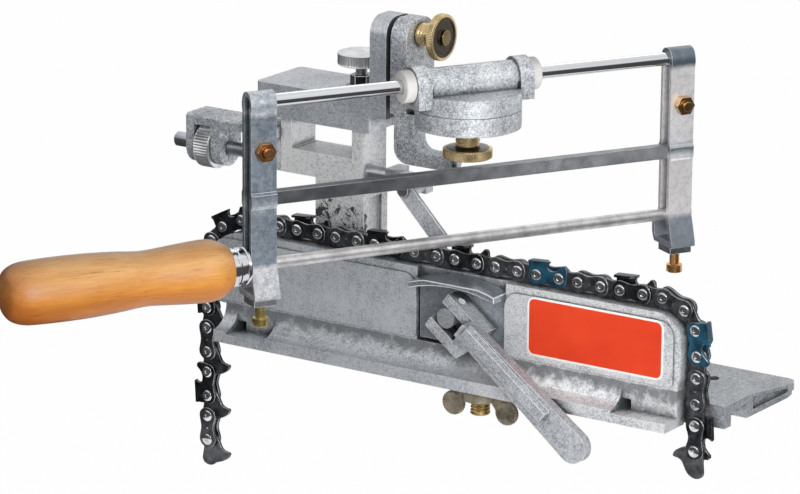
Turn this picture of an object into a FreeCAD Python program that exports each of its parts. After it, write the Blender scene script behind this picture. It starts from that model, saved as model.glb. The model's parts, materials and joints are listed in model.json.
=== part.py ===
import FreeCAD
import Part
import math
import os
from FreeCAD import Vector

# A bench-mounted filing fixture for saw chain. All sizes are in millimetres.
# The parts are laid out about the crossing point: X along the rail, Y back from the chain's middle
# plane, Z up from the line of the chain's rivets, with X = 0 on the swivel's axis.
# At the end they are moved so that the origin is midway between the bench screws, on the bench.

# Chain
strap_gap = 10.2           # between the two rivets of a strap or cutter
drive_gap = 8.6            # between the two rivets of a drive link
strap_half_height = 4.0
strap_thick = 1.4
drive_thick = 1.5
link_play = 0.1            # side play between a strap and a drive link
pin_radius = 1.65
pin_play = 0.08
head_radius = 2.4
head_rise = 0.75
tooth_rise = 6.0           # top of a tooth above the rivet line
tooth_thick = 1.2
gauge_drop = 0.7           # depth gauge below the tooth's top
tang_depth = 10.2
drive_end_radius = 3.6
first_cutter_x = -79.3     # first rivet of the cutter link nearest the left corner
near_tail = 70.0           # how far the right tail hangs below the rivet line
far_tail = 114.0           # how far the left tail hangs
marked_links = (6, 10)

# Rail
tail_left_x = -124.0       # hanging tails' rivet lines
tail_right_x = 105.4
left_bend = 21.0           # rivet line's bends over the rail's two corners
right_bend = 15.5
rail_seat = 4.3            # rivet line to the rail's edge
rail_thick = 13.0
rail_face_bottom = -34.5
rail_low_corner = 7.0
groove_width = 2.1
groove_depth = 7.5
foot_left_x = -111.0
foot_right_x = 100.0
foot_flare = 9.0
foot_lip = 5.0
foot_notches = ((-105.0, -86.0), (75.8, 120.0))  # where the hollow is cut square
foot_notch_floor = -44.8
square_hole = 4.0
square_hole_depth = 9.0
square_hole_places = (-103.0, 77.8)
square_hole_z = -42.8
recess_left_x = -18.5
recess_right_x = 22.5
recess_depth = 3.4
recess_bottom = -34.0
panel_rise = 0.8
panel_margin = 3.0

# Bench plate
bench_drop = 50.0          # rivet line to the bench
plate_half_length = 119.5
plate_end_cut = 6.0        # the plate is shorter by this along its front
plate_back_y = 53.0
plate_top = -41.0
plate_thick = 3.2
rim_thick = 4.6
end_rim_start_y = 26.0
bench_hole_spacing = 182.0
bench_hole_y = 36.0
bench_hole_radius = 2.75
bench_boss_radius = 8.0
back_foot_half = 60.0      # half the length of the wall along the back
plate_corner = 4.0
end_recess = 1.2           # how far the ends are let in below the plate's edge
end_band = 2.4

# Screws that hold the plate to the rail and the column to the plate
screw_radius = 2.5
screw_flats = 8.0
screw_head = 3.4
plate_screw_x = (-52.0, 52.0)
plate_screw_z = -45.9
plate_screw_depth = 5.0
plate_screw_radius = 2.0
plate_screw_flats = 6.4
plate_screw_head = 2.8
plate_pocket_skin = 1.2    # left above the pockets for the heads

# Clamp lever and jaw
clamp_x = 0.0
clamp_z = -20.3
clamp_bolt_radius = 4.0
clamp_pin_radius = 1.5
cam_radius = 5.2
cam_offset = 0.5
cam_gap = 0.1
prong_width = 4.6
prong_play = 0.3
lever_angle = 37.5
lever_reach = 80.0
lever_offset = 7.4         # the blade's middle above the bolt's, across the lever
lever_root_half = 4.5
lever_end_half = 6.3
lever_thick = 4.6
lever_crank = 7.4           # the blade stands this far in front of the fork's middle
fork_slot_end = 8.2         # from the pin to the bottom of the fork's slot
fork_end = 13.4
fork_heel = 16.2
fork_front = 3.9            # the fork's faces in front of the pin and behind it
fork_back = 4.4
lever_rib_start = 12.0
lever_rib_end = 58.0
lever_rib_rise = 2.2
jaw_thick = 2.0
jaw_play = 0.15
visor_reach = 9.2
visor_thick = 2.5
visor_fall = 1.3           # its top falls by this from root to lip

# Stud and wing nut under the rail
stud_x = 12.5
stud_y = -8.0
stud_radius = 4.0
stud_end = -58.4
stud_socket = 3.6
wing_hub_radius = 7.2
wing_hub_high = 3.8
wing_ear_radius = 4.9
wing_ear_thick = 2.6
wing_ear_spread = 12.3
wing_ear_z = -56.0

# Column and its upper frame
column_front = 10.3
column_deep = 17.0
frame_left_x = -96.0
frame_right_x = -56.3
frame_post = 5.2
column_left_x = -79.0
column_right_x = -55.6
crossbar_low = 19.2
crossbar_high = 29.4
post_top = 51.4
column_foot_high = 6.0
column_foot_spread = 6.0

# Carriage block that slides on the frame's posts
block_left_x = -107.0
block_right_x = -52.0
block_front = 8.5
block_back = 39.5
block_low = 41.5
block_high = 55.4
slide_play = 0.08
cheek_thick = 7.8
cheek_deep = 20.0
cheek_gap = 1.9
cheek_low = 48.0
washer_play = 0.1

knurl_sides = 32           # flats that stand for the fine knurl round a knob

# Height spindle, knob and lock nut
spindle_x = -64.6
spindle_y = 21.5
spindle_radius = 2.5
spindle_low = 6.0
knob_low = 65.6
height_knob_high = 4.9
height_knob_radius = 9.6
lock_nut_flats = 8.0
lock_nut_high = 4.6
lock_washer_radius = 6.6
lock_washer_thick = 1.4

# Tilt joint
tilt_z = 82.3
cheek_top = 88.8
cheek_round = 7.4
tilt_bolt_radius = 3.0
tilt_knob_neck = 8.0
tilt_knob_neck_radius = 4.6
tilt_knob_radius = 9.4
tilt_knob_thick = 3.0
tilt_washer_radius = 6.0
tilt_bolt_flats = 10.0
tilt_bolt_head = 2.4

# Swivel bracket and its limb
disc_radius = 20.8
low_disc_bottom = 53.95
low_disc_top = 61.45
disc_gap = 0.1
limb_left_x = -40.4
limb_wide = 9.8
limb_deep = 8.5
limb_bottom = 31.4
limb_arm_high = 5.7
limb_arm_end_x = -13.8
limb_outer_round = 6.5
limb_inner_round = 5.0

# Bearing housing and bushings
bow_angle = 60.0           # the files' direction, seen from above, from the rail
high_disc_top = 68.45
rod_drop = 63.5            # guide rod above the round file
housing_radius = 6.2
flange_inner = 19.0
flange_thick = 6.0
flange_half_wide = 7.5
flange_bottom = 63.8
bushing_radius = 6.4
bushing_proud = 6.0
bushing_play = 0.04
swivel_stud_radius = 3.0
swivel_neck_radius = 4.8
swivel_knob_radius = 9.7
swivel_knob_thick = 3.8
swivel_knob_low = 41.5
swivel_stud_end = 40.0

# Bow
file_radius = 2.4
file_above_teeth = 0.25
rod_radius = 2.7
fit_play = 0.05
flat_file_above = 25.9
flat_file_thick = 4.6
flat_file_high = 5.2
post_left_s = -88.5
post_right_s = 93.0
post_width = 10.7
strip_thick = 1.7
post_half = 4.05
pinch_drop = 18.2
pinch_bolt_radius = 2.0
nut_flats = 7.0
nut_high = 3.2
ring_drop = 12.4
ring_swell = 8.6
ring_toe = 7.6
clamp_screw_radius = 2.0
clamp_screw_head_radius = 3.2
clamp_screw_head_high = 3.2
clamp_screw_end = 24.0
clamp_nut_high = 3.0
clamp_nut_flats = 9.6

# Handle
handle_length = 92.0
handle_start_s = -102.0
ferrule_length = 7.6
ferrule_radius = 7.5
ferrule_wall = 0.9
handle_butt_radius = 12.4
handle_waist_radius = 10.4
handle_front_radius = 12.3
tang_radius = 1.7
tang_length = 45.0

# Chain stop
stop_y = 14.8
stop_z = 23.8
stop_rod_radius = 3.0
stop_rod_left_x = -151.0
stop_bracket_left_x = -141.0
stop_bracket_top = 37.6
stop_bar_thick = 4.2
stop_leg = 4.0
stop_wall_x = -128.8
stop_wall = 4.4
stop_lug_radius = 7.6      # the legs end round, about the rod
stop_wheel_radius = 9.3
stop_wheel_play = 0.35
arm_left_x = -45.0
arm_wide = 5.0
arm_high = 6.6
pawl_pivot_x = -29.0
pawl_tip_x = -10.9
pawl_tip_z = 5.2
pawl_width = 7.2
pawl_thick = 1.6
pawl_pin_radius = 1.6

file_z = tooth_rise + file_above_teeth + file_radius
rod_z = file_z + rod_drop
flat_file_z = file_z + flat_file_above
rail_top = -rail_seat
plate_gap_y = rail_thick / 2
rail_left_x = tail_left_x + rail_seat
rail_right_x = tail_right_x - rail_seat
rail_front = -rail_thick / 2
rail_back = rail_thick / 2
rail_bottom = rail_face_bottom - foot_flare - foot_lip
strap_inner = drive_thick / 2 + link_play
strap_outer = strap_inner + strap_thick
tilt_y = block_front + cheek_deep / 2
cheek_left_x = block_right_x + cheek_thick
swing_cheek_x = cheek_left_x + cheek_gap


def box(x0, x1, y0, y1, z0, z1):
    return Part.makeBox(x1 - x0, y1 - y0, z1 - z0, Vector(x0, y0, z0))


def bar(radius, start, end):
    """A round bar between two points."""
    start = Vector(*start)
    run = Vector(*end) - start
    return Part.makeCylinder(radius, run.Length, start, run)


def place(plane, u, v):
    return {"xy": Vector(u, v, 0), "xz": Vector(u, 0, v), "yz": Vector(0, u, v)}[plane]


def outline(plane, *steps):
    """A flat face: each step is a corner, or an arc's middle and end in one."""
    first = place(plane, *steps[0])
    here = first
    edges = []
    for step in steps[1:] + (steps[0],):
        there = place(plane, *step[-2:])
        if len(step) == 4:
            edges.append(Part.Arc(here, place(plane, *step[:2]), there).toShape())
        elif (there - here).Length > 1e-6:
            edges.append(Part.LineSegment(here, there).toShape())
        here = there
    return Part.Face(Part.Wire(edges))


def slab(face, plane, low, high):
    """Thickens a face between two levels across its plane."""
    across = {"xy": Vector(0, 0, 1), "xz": Vector(0, 1, 0), "yz": Vector(1, 0, 0)}[plane]
    face.translate(across * low)
    return face.extrude(across * (high - low))


def rounded(u0, u1, v0, v1, low_round, high_round, far_round=None):
    """Corners of a rectangle with its lower and upper corners rounded, as steps."""
    k = 1 - math.sqrt(0.5)
    a, b = low_round, high_round
    c = far_round or high_round
    return (
        (u0 + a, v0),
        (u1 - a, v0),
        (u1 - a * k, v0 + a * k, u1, v0 + a),
        (u1, v1 - c),
        (u1 - c * k, v1 - c * k, u1 - c, v1),
        (u0 + b, v1),
        (u0 + b * k, v1 - b * k, u0, v1 - b),
        (u0, v0 + a),
        (u0 + a * k, v0 + a * k, u0 + a, v0),
    )


def soften(shape, radius, choose):
    """Fillets the straight edges that the test picks by middle and direction."""
    edges = []
    for edge in shape.Edges:
        if isinstance(edge.Curve, Part.Line):
            run = edge.Vertexes[-1].Point - edge.Vertexes[0].Point
            if choose(edge.CenterOfMass, run.normalize()):
                edges.append(edge)
    return shape.makeFillet(radius, edges)


def prism(corner, sides, low, high, axis_point=(0, 0, 0), axis=(0, -1, 0)):
    """A bar of equal flat sides: nuts, knurled rims and the chain's pins."""
    turns = [2 * math.pi * (i + 0.5) / sides for i in range(sides)]
    points = [Vector(corner * math.cos(t), corner * math.sin(t), low) for t in turns]
    solid = Part.Face(Part.makePolygon(points + [points[0]])).extrude(Vector(0, 0, high - low))
    solid.Placement = FreeCAD.Placement(Vector(*axis_point), FreeCAD.Rotation(Vector(0, 0, 1), Vector(*axis)))
    return solid


def hexagon(flats, low, high, axis_point, axis):
    return prism(flats / math.sqrt(3), 6, low, high, axis_point, axis)


def to_bow(shape):
    """Turns a part modelled with the files along Y to the bow's direction."""
    shape.rotate(Vector(0, 0, 0), Vector(0, 0, 1), bow_angle - 90)
    return shape


nodes = {}


def keep(name, *solids):
    nodes[name] = solids[0] if len(solids) == 1 else Part.makeCompound(list(solids))


# Chain path: up the far tail, over the rail, down the near tail
top_start_x = tail_left_x + left_bend
top_end_x = tail_right_x - right_bend
left_arc = left_bend * math.pi / 2
right_arc = right_bend * math.pi / 2
top_length = top_end_x - top_start_x


def path_point(distance):
    """A point of the rivet line, by its distance from the start of the straight top."""
    past = distance - top_length
    if distance < -left_arc:
        return Vector(tail_left_x, 0, -left_bend + distance + left_arc)
    if distance < 0:
        turn = distance / left_bend
        return Vector(top_start_x + left_bend * math.sin(turn), 0, left_bend * (math.cos(turn) - 1))
    if past <= 0:
        return Vector(top_start_x + distance, 0, 0)
    if past < right_arc:
        turn = past / right_bend
        return Vector(top_end_x + right_bend * math.sin(turn), 0, right_bend * (math.cos(turn) - 1))
    return Vector(tail_right_x, 0, -right_bend - (past - right_arc))


def next_rivet(distance, way, gap):
    """The distance of the neighbouring rivet, one gap away in a straight line."""
    here = path_point(distance)
    low, high = 0.8 * gap, 1.3 * gap
    for _ in range(40):
        step = (low + high) / 2
        if (path_point(distance + way * step) - here).Length < gap:
            low = step
        else:
            high = step
    return distance + way * step


def rivet_line():
    """Rivet centres by number, counted from the first cutter's first rivet."""
    rivets = {}
    for way, tail in ((1, near_tail), (-1, far_tail)):
        distance = first_cutter_x - top_start_x
        number = 0
        while path_point(distance).z > -tail:
            rivets[number] = path_point(distance)
            first = min(number, number + way)
            distance = next_rivet(distance, way, strap_gap if first % 2 == 0 else drive_gap)
            number += way
    return rivets


def strap(low, high):
    """A tie strap: round ends with a drawn-in waist, its rivets at 0 and one gap."""
    h, g = strap_half_height, strap_gap
    steps = ((0, -h), (g / 2, -0.7 * h), (g, -h), (g + 0.8 * h, -0.6 * h), (g + 0.8 * h, 0.6 * h), (g, h),
             (g / 2, 0.8 * h), (0, h), (-0.8 * h, 0.6 * h), (-0.8 * h, -0.6 * h))
    return slab(outline("xz", *steps), "xz", low, high)


def cutter_plate(low, high, over):
    """A cutter: side plate with tooth, gullet and depth gauge, and the tooth's top plate."""
    h, g = strap_half_height, strap_gap
    gauge = tooth_rise - gauge_drop
    steps = ((0, -h), (g / 2, -0.7 * h), (g, -h), (g + 0.8 * h, -0.6 * h), (g + h, 0.5 * h),
             (g + 0.75 * h, gauge), (g + 0.4 * h, gauge), (g - 0.3 * h, 0.6 * h), (0.5 * g, 0.8 * h),
             (0.58 * g, tooth_rise), (-0.85 * h, tooth_rise - 0.5), (-0.8 * h, -0.6 * h))
    side = slab(outline("xz", *steps), "xz", low, high)
    top = ((-0.85 * h, tooth_rise - tooth_thick - 0.5), (0.5 * g, tooth_rise - tooth_thick),
           (0.58 * g, tooth_rise), (-0.85 * h, tooth_rise - 0.5))
    return side.fuse(slab(outline("xz", *top), "xz", *over))


def drive_plate():
    """A drive link: two eyes and a hooked tang that runs in the rail's groove."""
    r, g, t = drive_end_radius, drive_gap, tang_depth
    steps = ((-0.8 * r, -0.6 * r), (-0.1 * g, -0.6 * t), (0.16 * g, -0.88 * t), (0.44 * g, -t),
             (0.52 * g, -0.7 * t),
             (g, -0.42 * t), (g + 0.8 * r, -0.6 * r), (g + 0.8 * r, 0.6 * r), (g, r), (0, r),
             (-0.8 * r, 0.6 * r))
    plate = slab(outline("xz", *steps), "xz", -drive_thick / 2, drive_thick / 2)
    # Eight flats that a pin can turn in
    eye = (pin_radius + pin_play) / math.cos(math.pi / 8)
    for x in (0, g):
        hole = prism(eye, 8, -drive_thick, drive_thick)
        hole.translate(Vector(x, 0, 0))
        plate = plate.cut(hole)
    return plate


def riveted(plates):
    """Side plates with the two rivets that hold them."""
    link = plates[0]
    extra = list(plates[1:])
    for x in (0, strap_gap):
        pin = prism(pin_radius, 6, -strap_outer, strap_outer)
        pin.translate(Vector(x, 0, 0))
        extra.append(pin)
        for side in (-1, 1):
            near, far = sorted((side * (strap_outer - 0.2), side * (strap_outer + head_rise)))
            head = prism(head_radius, 8, near, far)
            head.translate(Vector(x, 0, 0))
            extra.append(head)
    return link.fuse(extra).removeSplitter()


def laid(solid, start, end):
    """Puts a link modelled along X between two rivets."""
    copy = solid.copy()
    run = end - start
    copy.rotate(Vector(0, 0, 0), Vector(0, 1, 0), -math.degrees(math.atan2(run.z, run.x)))
    copy.translate(start)
    return copy


def build_chain():
    rivets = rivet_line()
    near_side = (-strap_outer, -strap_inner)
    far_side = (strap_inner, strap_outer)
    tooth_over = (-strap_outer - 0.5, 0.5 * strap_outer)
    far_over = (-0.5 * strap_outer, strap_outer + 0.5)
    tie = riveted([strap(*near_side), strap(*far_side)])
    near_cutter = riveted([cutter_plate(*near_side, tooth_over), strap(*far_side)])
    far_cutter = riveted([cutter_plate(*far_side, far_over), strap(*near_side)])
    drive = drive_plate()
    groups = {"tie": [], "cutter": [], "marked": [], "drive": []}
    for number in sorted(rivets):
        if number + 1 not in rivets:
            continue
        ends = (rivets[number], rivets[number + 1])
        place_number = number // 2
        if number % 2:
            groups["drive"].append(laid(drive, *ends))
        elif place_number % 2:
            groups["tie"].append(laid(tie, *ends))
        else:
            kind = "marked" if place_number in marked_links else "cutter"
            groups[kind].append(laid(near_cutter if place_number % 4 else far_cutter, *ends))
    keep("chain_tie_links", *groups["tie"])
    keep("chain_cutter_links", *groups["cutter"])
    keep("chain_marked_cutters", *groups["marked"])
    keep("chain_drive_links", *groups["drive"])


def build_rail():
    left_round = left_bend - rail_seat
    right_round = right_bend - rail_seat
    face = rounded(rail_left_x, rail_right_x, rail_face_bottom, rail_top, rail_low_corner, left_round,
                   right_round)
    body = slab(outline("xz", *face), "xz", rail_front, rail_back)
    # Foot: its front sweeps forward in a hollow curve to a lip, cut square near both ends
    k = math.sqrt(0.5)
    low = rail_face_bottom - foot_flare
    lip_y = rail_front - foot_flare
    foot = outline(
        "yz", (rail_back, rail_face_bottom + 4), (rail_back, rail_bottom), (lip_y, rail_bottom), (lip_y, low),
        (lip_y + foot_flare * k, low + foot_flare * (1 - k), rail_front, rail_face_bottom),
        (rail_front, rail_face_bottom + 4),
    )
    foot = slab(foot, "yz", foot_left_x, foot_right_x)
    for x0, x1 in foot_notches:
        foot = foot.cut(box(x0, x1, lip_y - 1, rail_front, foot_notch_floor, rail_face_bottom + 1))
    body = body.fuse(foot)
    # Groove for the drive links' tangs, all round the edge
    depth = groove_depth
    inner = rounded(rail_left_x + depth, rail_right_x - depth, rail_bottom - 5, rail_top - depth,
                    1.0, left_round - depth, right_round - depth)
    outer = rounded(rail_left_x - 1, rail_right_x + 1, rail_bottom - 1, rail_top + 1, 1.0,
                    left_round, right_round)
    half = groove_width / 2
    core = slab(outline("xz", *inner), "xz", -half - 1, half + 1)
    body = body.cut(slab(outline("xz", *outer), "xz", -half, half).cut(core))
    # Recess for the clamp, open at the top edge
    body = body.cut(box(recess_left_x, recess_right_x, rail_front - 1, rail_front + recess_depth,
                        recess_bottom, rail_top + 1))
    # Raised panels on the face, left and right of the recess
    for x0, x1 in ((rail_left_x, recess_left_x), (recess_right_x, rail_right_x)):
        inset_left = panel_margin if x0 == rail_left_x else 0
        inset_right = panel_margin if x1 == rail_right_x else 0
        panel = rounded(x0 + inset_left, x1 - inset_right, rail_face_bottom + 1.5, rail_top - panel_margin,
                        2.0, 6.0)
        body = body.fuse(slab(outline("xz", *panel), "xz", rail_front - panel_rise, rail_front + 1))
    body = body.cut(bar(clamp_bolt_radius + fit_play, (clamp_x, rail_front - 2, clamp_z),
                        (clamp_x, rail_back + 1, clamp_z)))
    # Small square holes in the foot, and the socket of the stud
    half = square_hole / 2
    for x in square_hole_places:
        body = body.cut(box(x - half, x + half, rail_front - foot_flare - 1, rail_front + square_hole_depth,
                            square_hole_z - half, square_hole_z + half))
    body = body.cut(bar(stud_radius + fit_play, (stud_x, stud_y, rail_bottom - 1),
                        (stud_x, stud_y, rail_bottom + stud_socket)))
    # Blind holes for the screws that hold the bench plate
    for x in plate_screw_x:
        body = body.cut(bar(plate_screw_radius + fit_play, (x, rail_back - plate_screw_depth, plate_screw_z),
                            (x, rail_back + 1, plate_screw_z)))
    keep("rail_body", body.removeSplitter())


def hex_screw(start, axis, shank, flats=screw_flats, head=screw_head, radius=screw_radius):
    """A hexagon screw: the head's seat at the start, the shank running along the axis."""
    way = Vector(*axis)
    end = Vector(*start) + way * shank
    return bar(radius, start, end).fuse(hexagon(flats, -head, 0, start, axis))


def build_plate():
    front_half = plate_half_length - plate_end_cut
    c = plate_corner
    side = ((front_half, plate_gap_y), (front_half, end_rim_start_y),
            (plate_half_length, plate_back_y - 2 * c),
            (plate_half_length, plate_back_y - c))
    edge = side + ((plate_half_length - 0.3 * c, plate_back_y - 0.3 * c, plate_half_length - c,
                    plate_back_y),)
    mirrored = [(-x, y) for x, y in reversed(side)]
    turn = (-plate_half_length + 0.3 * c, plate_back_y - 0.3 * c, -plate_half_length, plate_back_y - c)
    edge = edge + ((-plate_half_length + c, plate_back_y), turn) + tuple(mirrored[1:])
    solid = slab(outline("xy", *edge), "xy", -bench_drop, plate_top)
    # Hollow below, open towards the rail at both ends
    low, high = -bench_drop - 1, plate_top - plate_thick
    t = rim_thick
    hollow = slab(outline("xy", (-front_half + t, plate_gap_y + t), (front_half - t, plate_gap_y + t),
                          (front_half - t, end_rim_start_y), (plate_half_length - t, plate_back_y - 2 * c),
                          (plate_half_length - t, plate_back_y - t),
                          (-plate_half_length + t, plate_back_y - t),
                          (-plate_half_length + t, plate_back_y - 2 * c), (-front_half + t, end_rim_start_y)),
                  "xy", low, high)
    bosses = [prism(bench_boss_radius, 8, low, high, (side * bench_hole_spacing / 2, bench_hole_y, 0),
                    (0, 0, 1))
              for side in (-1, 1)]
    ribs = []
    for side in (-1, 1):
        x0, x1 = sorted((side * front_half, side * (front_half - 3 * t)))
        ribs.append(box(x0, x1, end_rim_start_y - t / 2, end_rim_start_y, low, high))
    hollow = hollow.cut(bosses + ribs)
    # The ends' walls rise towards the back, and there is no wall along the back of the two wings
    back_rim = box(-plate_half_length - 1, plate_half_length + 1, plate_back_y - t - 0.1, plate_back_y + 1,
                   low, high)
    back_rim = back_rim.cut(box(-back_foot_half, back_foot_half, plate_back_y - t - 1, plate_back_y + 2,
                                low - 1, high + 1))
    cuts = [back_rim]
    for side in (-1, 1):
        x0, x1 = sorted((side * (front_half - 4 * t), side * (plate_half_length + 1)))
        rise = outline("yz", (end_rim_start_y, low), (end_rim_start_y, -bench_drop),
                       (plate_back_y + 1, high - 0.3),
                       (plate_back_y + 1, low))
        cuts.append(slab(rise, "yz", x0, x1))
        strip = outline("xy", (side * (front_half - end_recess), end_rim_start_y + 1.5),
                        (side * (plate_half_length + 4), end_rim_start_y + 1.5),
                        (side * (plate_half_length + 4), plate_back_y),
                        (side * (plate_half_length - end_recess), plate_back_y),
                        (side * (plate_half_length - end_recess), plate_back_y - 2 * c))
        run = plate_back_y - end_rim_start_y
        slope = (high - 0.3 + bench_drop) / (run + 1)
        web = outline("yz", (end_rim_start_y + 1.5, -bench_drop + end_band + 1.5 * slope),
                      (end_rim_start_y + 1.5, plate_top - 1.4),
                      (plate_back_y - 2 * c, plate_top - 1.4),
                      (plate_back_y - 2 * c, -bench_drop + end_band + (run - 2 * c) * slope))
        ends = sorted((side * (front_half - 3), side * (plate_half_length + 3)))
        cuts.append(slab(strip, "xy", low, plate_top).common(slab(web, "yz", *ends)))
    gaps = []
    for side in (-1, 1):
        x0, x1 = sorted((side * (front_half - t - 1), side * (front_half + 1)))
        gaps.append(box(x0, x1, plate_gap_y + 1.1 * t, end_rim_start_y - t / 2, low, high))
    plate = solid.cut([hollow] + gaps + cuts)
    for side in (-1, 1):
        x = side * bench_hole_spacing / 2
        plate = plate.cut(bar(bench_hole_radius, (x, bench_hole_y, -bench_drop - 1),
                              (x, bench_hole_y, plate_top + 1)))
    seat = plate_gap_y + rim_thick
    for x in plate_screw_x:
        plate = plate.cut(bar(plate_screw_radius + fit_play, (x, plate_gap_y - 1, plate_screw_z),
                              (x, seat + 1, plate_screw_z)))
        wide = 0.8 * plate_screw_flats
        plate = plate.cut(box(x - wide, x + wide, seat, seat + plate_screw_head + 1, low,
                              plate_top - plate_pocket_skin))
    for x, y in column_screw_places:
        plate = plate.cut(bar(screw_radius + fit_play, (x, y, high - 1), (x, y, plate_top + 1)))
    keep("bench_plate", plate.removeSplitter())
    shank = rim_thick + plate_screw_depth - 0.2
    sizes = (plate_screw_flats, plate_screw_head, plate_screw_radius)
    keep("plate_screws", *[hex_screw((x, seat, plate_screw_z), (0, -1, 0), shank,
                                     *sizes) for x in plate_screw_x])


column_middle_y = column_front + column_deep / 2
column_screw_places = (
    (column_left_x - column_foot_spread, column_middle_y),
    (column_right_x + column_foot_spread, column_middle_y),
)


def build_column():
    back = column_front + column_deep
    foot = rounded(column_left_x - 2 * column_foot_spread, column_right_x + 2 * column_foot_spread,
                   plate_gap_y + 2, back + 2, 3.0, 3.0)
    column = slab(outline("xy", *foot), "xy", plate_top, plate_top + column_foot_high)
    column = column.fuse([
        box(column_left_x, column_right_x, column_front, back, plate_top, crossbar_low + 1),
        box(frame_left_x, frame_right_x, column_front, back, crossbar_low, crossbar_high),
        box(frame_left_x, frame_left_x + frame_post, column_front, back, crossbar_low, post_top),
        box(frame_right_x - frame_post, frame_right_x, column_front, back, crossbar_low, post_top),
    ]).removeSplitter()
    # Cast relief down the column's right side
    column = column.cut(box(column_right_x - 1.5, column_right_x + 1, column_front + 4, back - 4,
                            plate_top + column_foot_high + 6, crossbar_low - 6))
    column = column.cut(bar(spindle_radius + fit_play, (spindle_x, spindle_y, spindle_low - 2),
                            (spindle_x, spindle_y, crossbar_high + 1)))
    column = column.cut(bar(stop_rod_radius + fit_play, (frame_left_x - 1, stop_y, stop_z),
                            (frame_right_x + 1, stop_y, stop_z)))
    for x, y in column_screw_places:
        column = column.cut(bar(screw_radius + fit_play, (x, y, plate_top - 1),
                                (x, y, plate_top + column_foot_high + 1)))
    keep("column", column)
    seat = plate_top + column_foot_high
    shank = column_foot_high + plate_thick
    keep("column_screws", *[hex_screw((x, y, seat), (0, 0, -1), shank) for x, y in column_screw_places])


def cheek(low, left_x, right_x):
    """A lug of the tilt joint, with its two upper corners rounded."""
    y1 = block_front + cheek_deep
    r, k = cheek_round, 1 - math.sqrt(0.5)
    face = outline(
        "yz", (block_front, low), (y1, low), (y1, cheek_top - r),
        (y1 - r * k, cheek_top - r * k, y1 - r, cheek_top),
        (block_front + r, cheek_top), (block_front + r * k, cheek_top - r * k, block_front, cheek_top - r),
    )
    return slab(face, "yz", left_x, right_x)


def build_carriage():
    block = box(block_left_x, block_right_x, block_front, block_back, block_low, block_high)
    block = soften(block, 2.0, lambda c, d: abs(d.z) > 0.9 and c.x < block_right_x - 3)
    block = block.fuse(cheek(cheek_low, block_right_x, cheek_left_x)).removeSplitter()
    for x0 in (frame_left_x, frame_right_x - frame_post):
        block = block.cut(box(x0 - slide_play, x0 + frame_post + slide_play, column_front - slide_play,
                              column_front + column_deep + slide_play, block_low - 1, post_top + 0.4))
    block = block.cut(bar(spindle_radius + fit_play, (spindle_x, spindle_y, block_low - 1),
                          (spindle_x, spindle_y, block_high + 1)))
    block = block.cut(bar(tilt_bolt_radius + fit_play, (block_right_x - 4, tilt_y, tilt_z),
                          (cheek_left_x + 1, tilt_y, tilt_z)))
    # The bolt's head sits in a pocket of its own shape in the cheek
    seat = (block_right_x, tilt_y, tilt_z)
    block = block.cut(hexagon(tilt_bolt_flats + 2 * fit_play, -1, tilt_bolt_head, seat, (1, 0, 0)))
    keep("carriage", block)
    end = swing_cheek_x + cheek_thick + tilt_knob_neck + tilt_knob_thick + 1.2
    bolt = bar(tilt_bolt_radius, seat, (end, tilt_y, tilt_z))
    keep("tilt_bolt", bolt.fuse(hexagon(tilt_bolt_flats, 0.2, tilt_bolt_head, seat, (1, 0, 0))))
    washer = bar(tilt_washer_radius, (cheek_left_x + washer_play, tilt_y, tilt_z),
                 (swing_cheek_x - washer_play, tilt_y, tilt_z))
    keep("tilt_washer", washer.cut(bar(tilt_bolt_radius + fit_play, (cheek_left_x - 1, tilt_y, tilt_z),
                                       (swing_cheek_x + 1, tilt_y, tilt_z))))


def build_height():
    spindle = bar(spindle_radius, (spindle_x, spindle_y, spindle_low), (spindle_x, spindle_y, knob_low + 2))
    keep("height_spindle", spindle)
    foot = (spindle_x, spindle_y, knob_low)
    knob = prism(height_knob_radius, knurl_sides, 0, height_knob_high, foot, (0, 0, 1))
    keep("height_knob", knob.cut(bar(spindle_radius + fit_play, (spindle_x, spindle_y, knob_low - 1),
                                     (spindle_x, spindle_y, knob_low + 2.2))))
    # Washer and lock nut on the block
    seat = block_high + 0.1
    middle = seat + lock_washer_thick
    hole = bar(spindle_radius + fit_play, (spindle_x, spindle_y, seat - 1), (spindle_x, spindle_y, knob_low))
    washer = bar(lock_washer_radius, (spindle_x, spindle_y, seat), (spindle_x, spindle_y, middle))
    keep("lock_washer", washer.cut(hole))
    keep("lock_nut", hexagon(lock_nut_flats, 0.1, lock_nut_high, (spindle_x, spindle_y, middle),
                             (0, 0, 1)).cut(hole))


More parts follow.
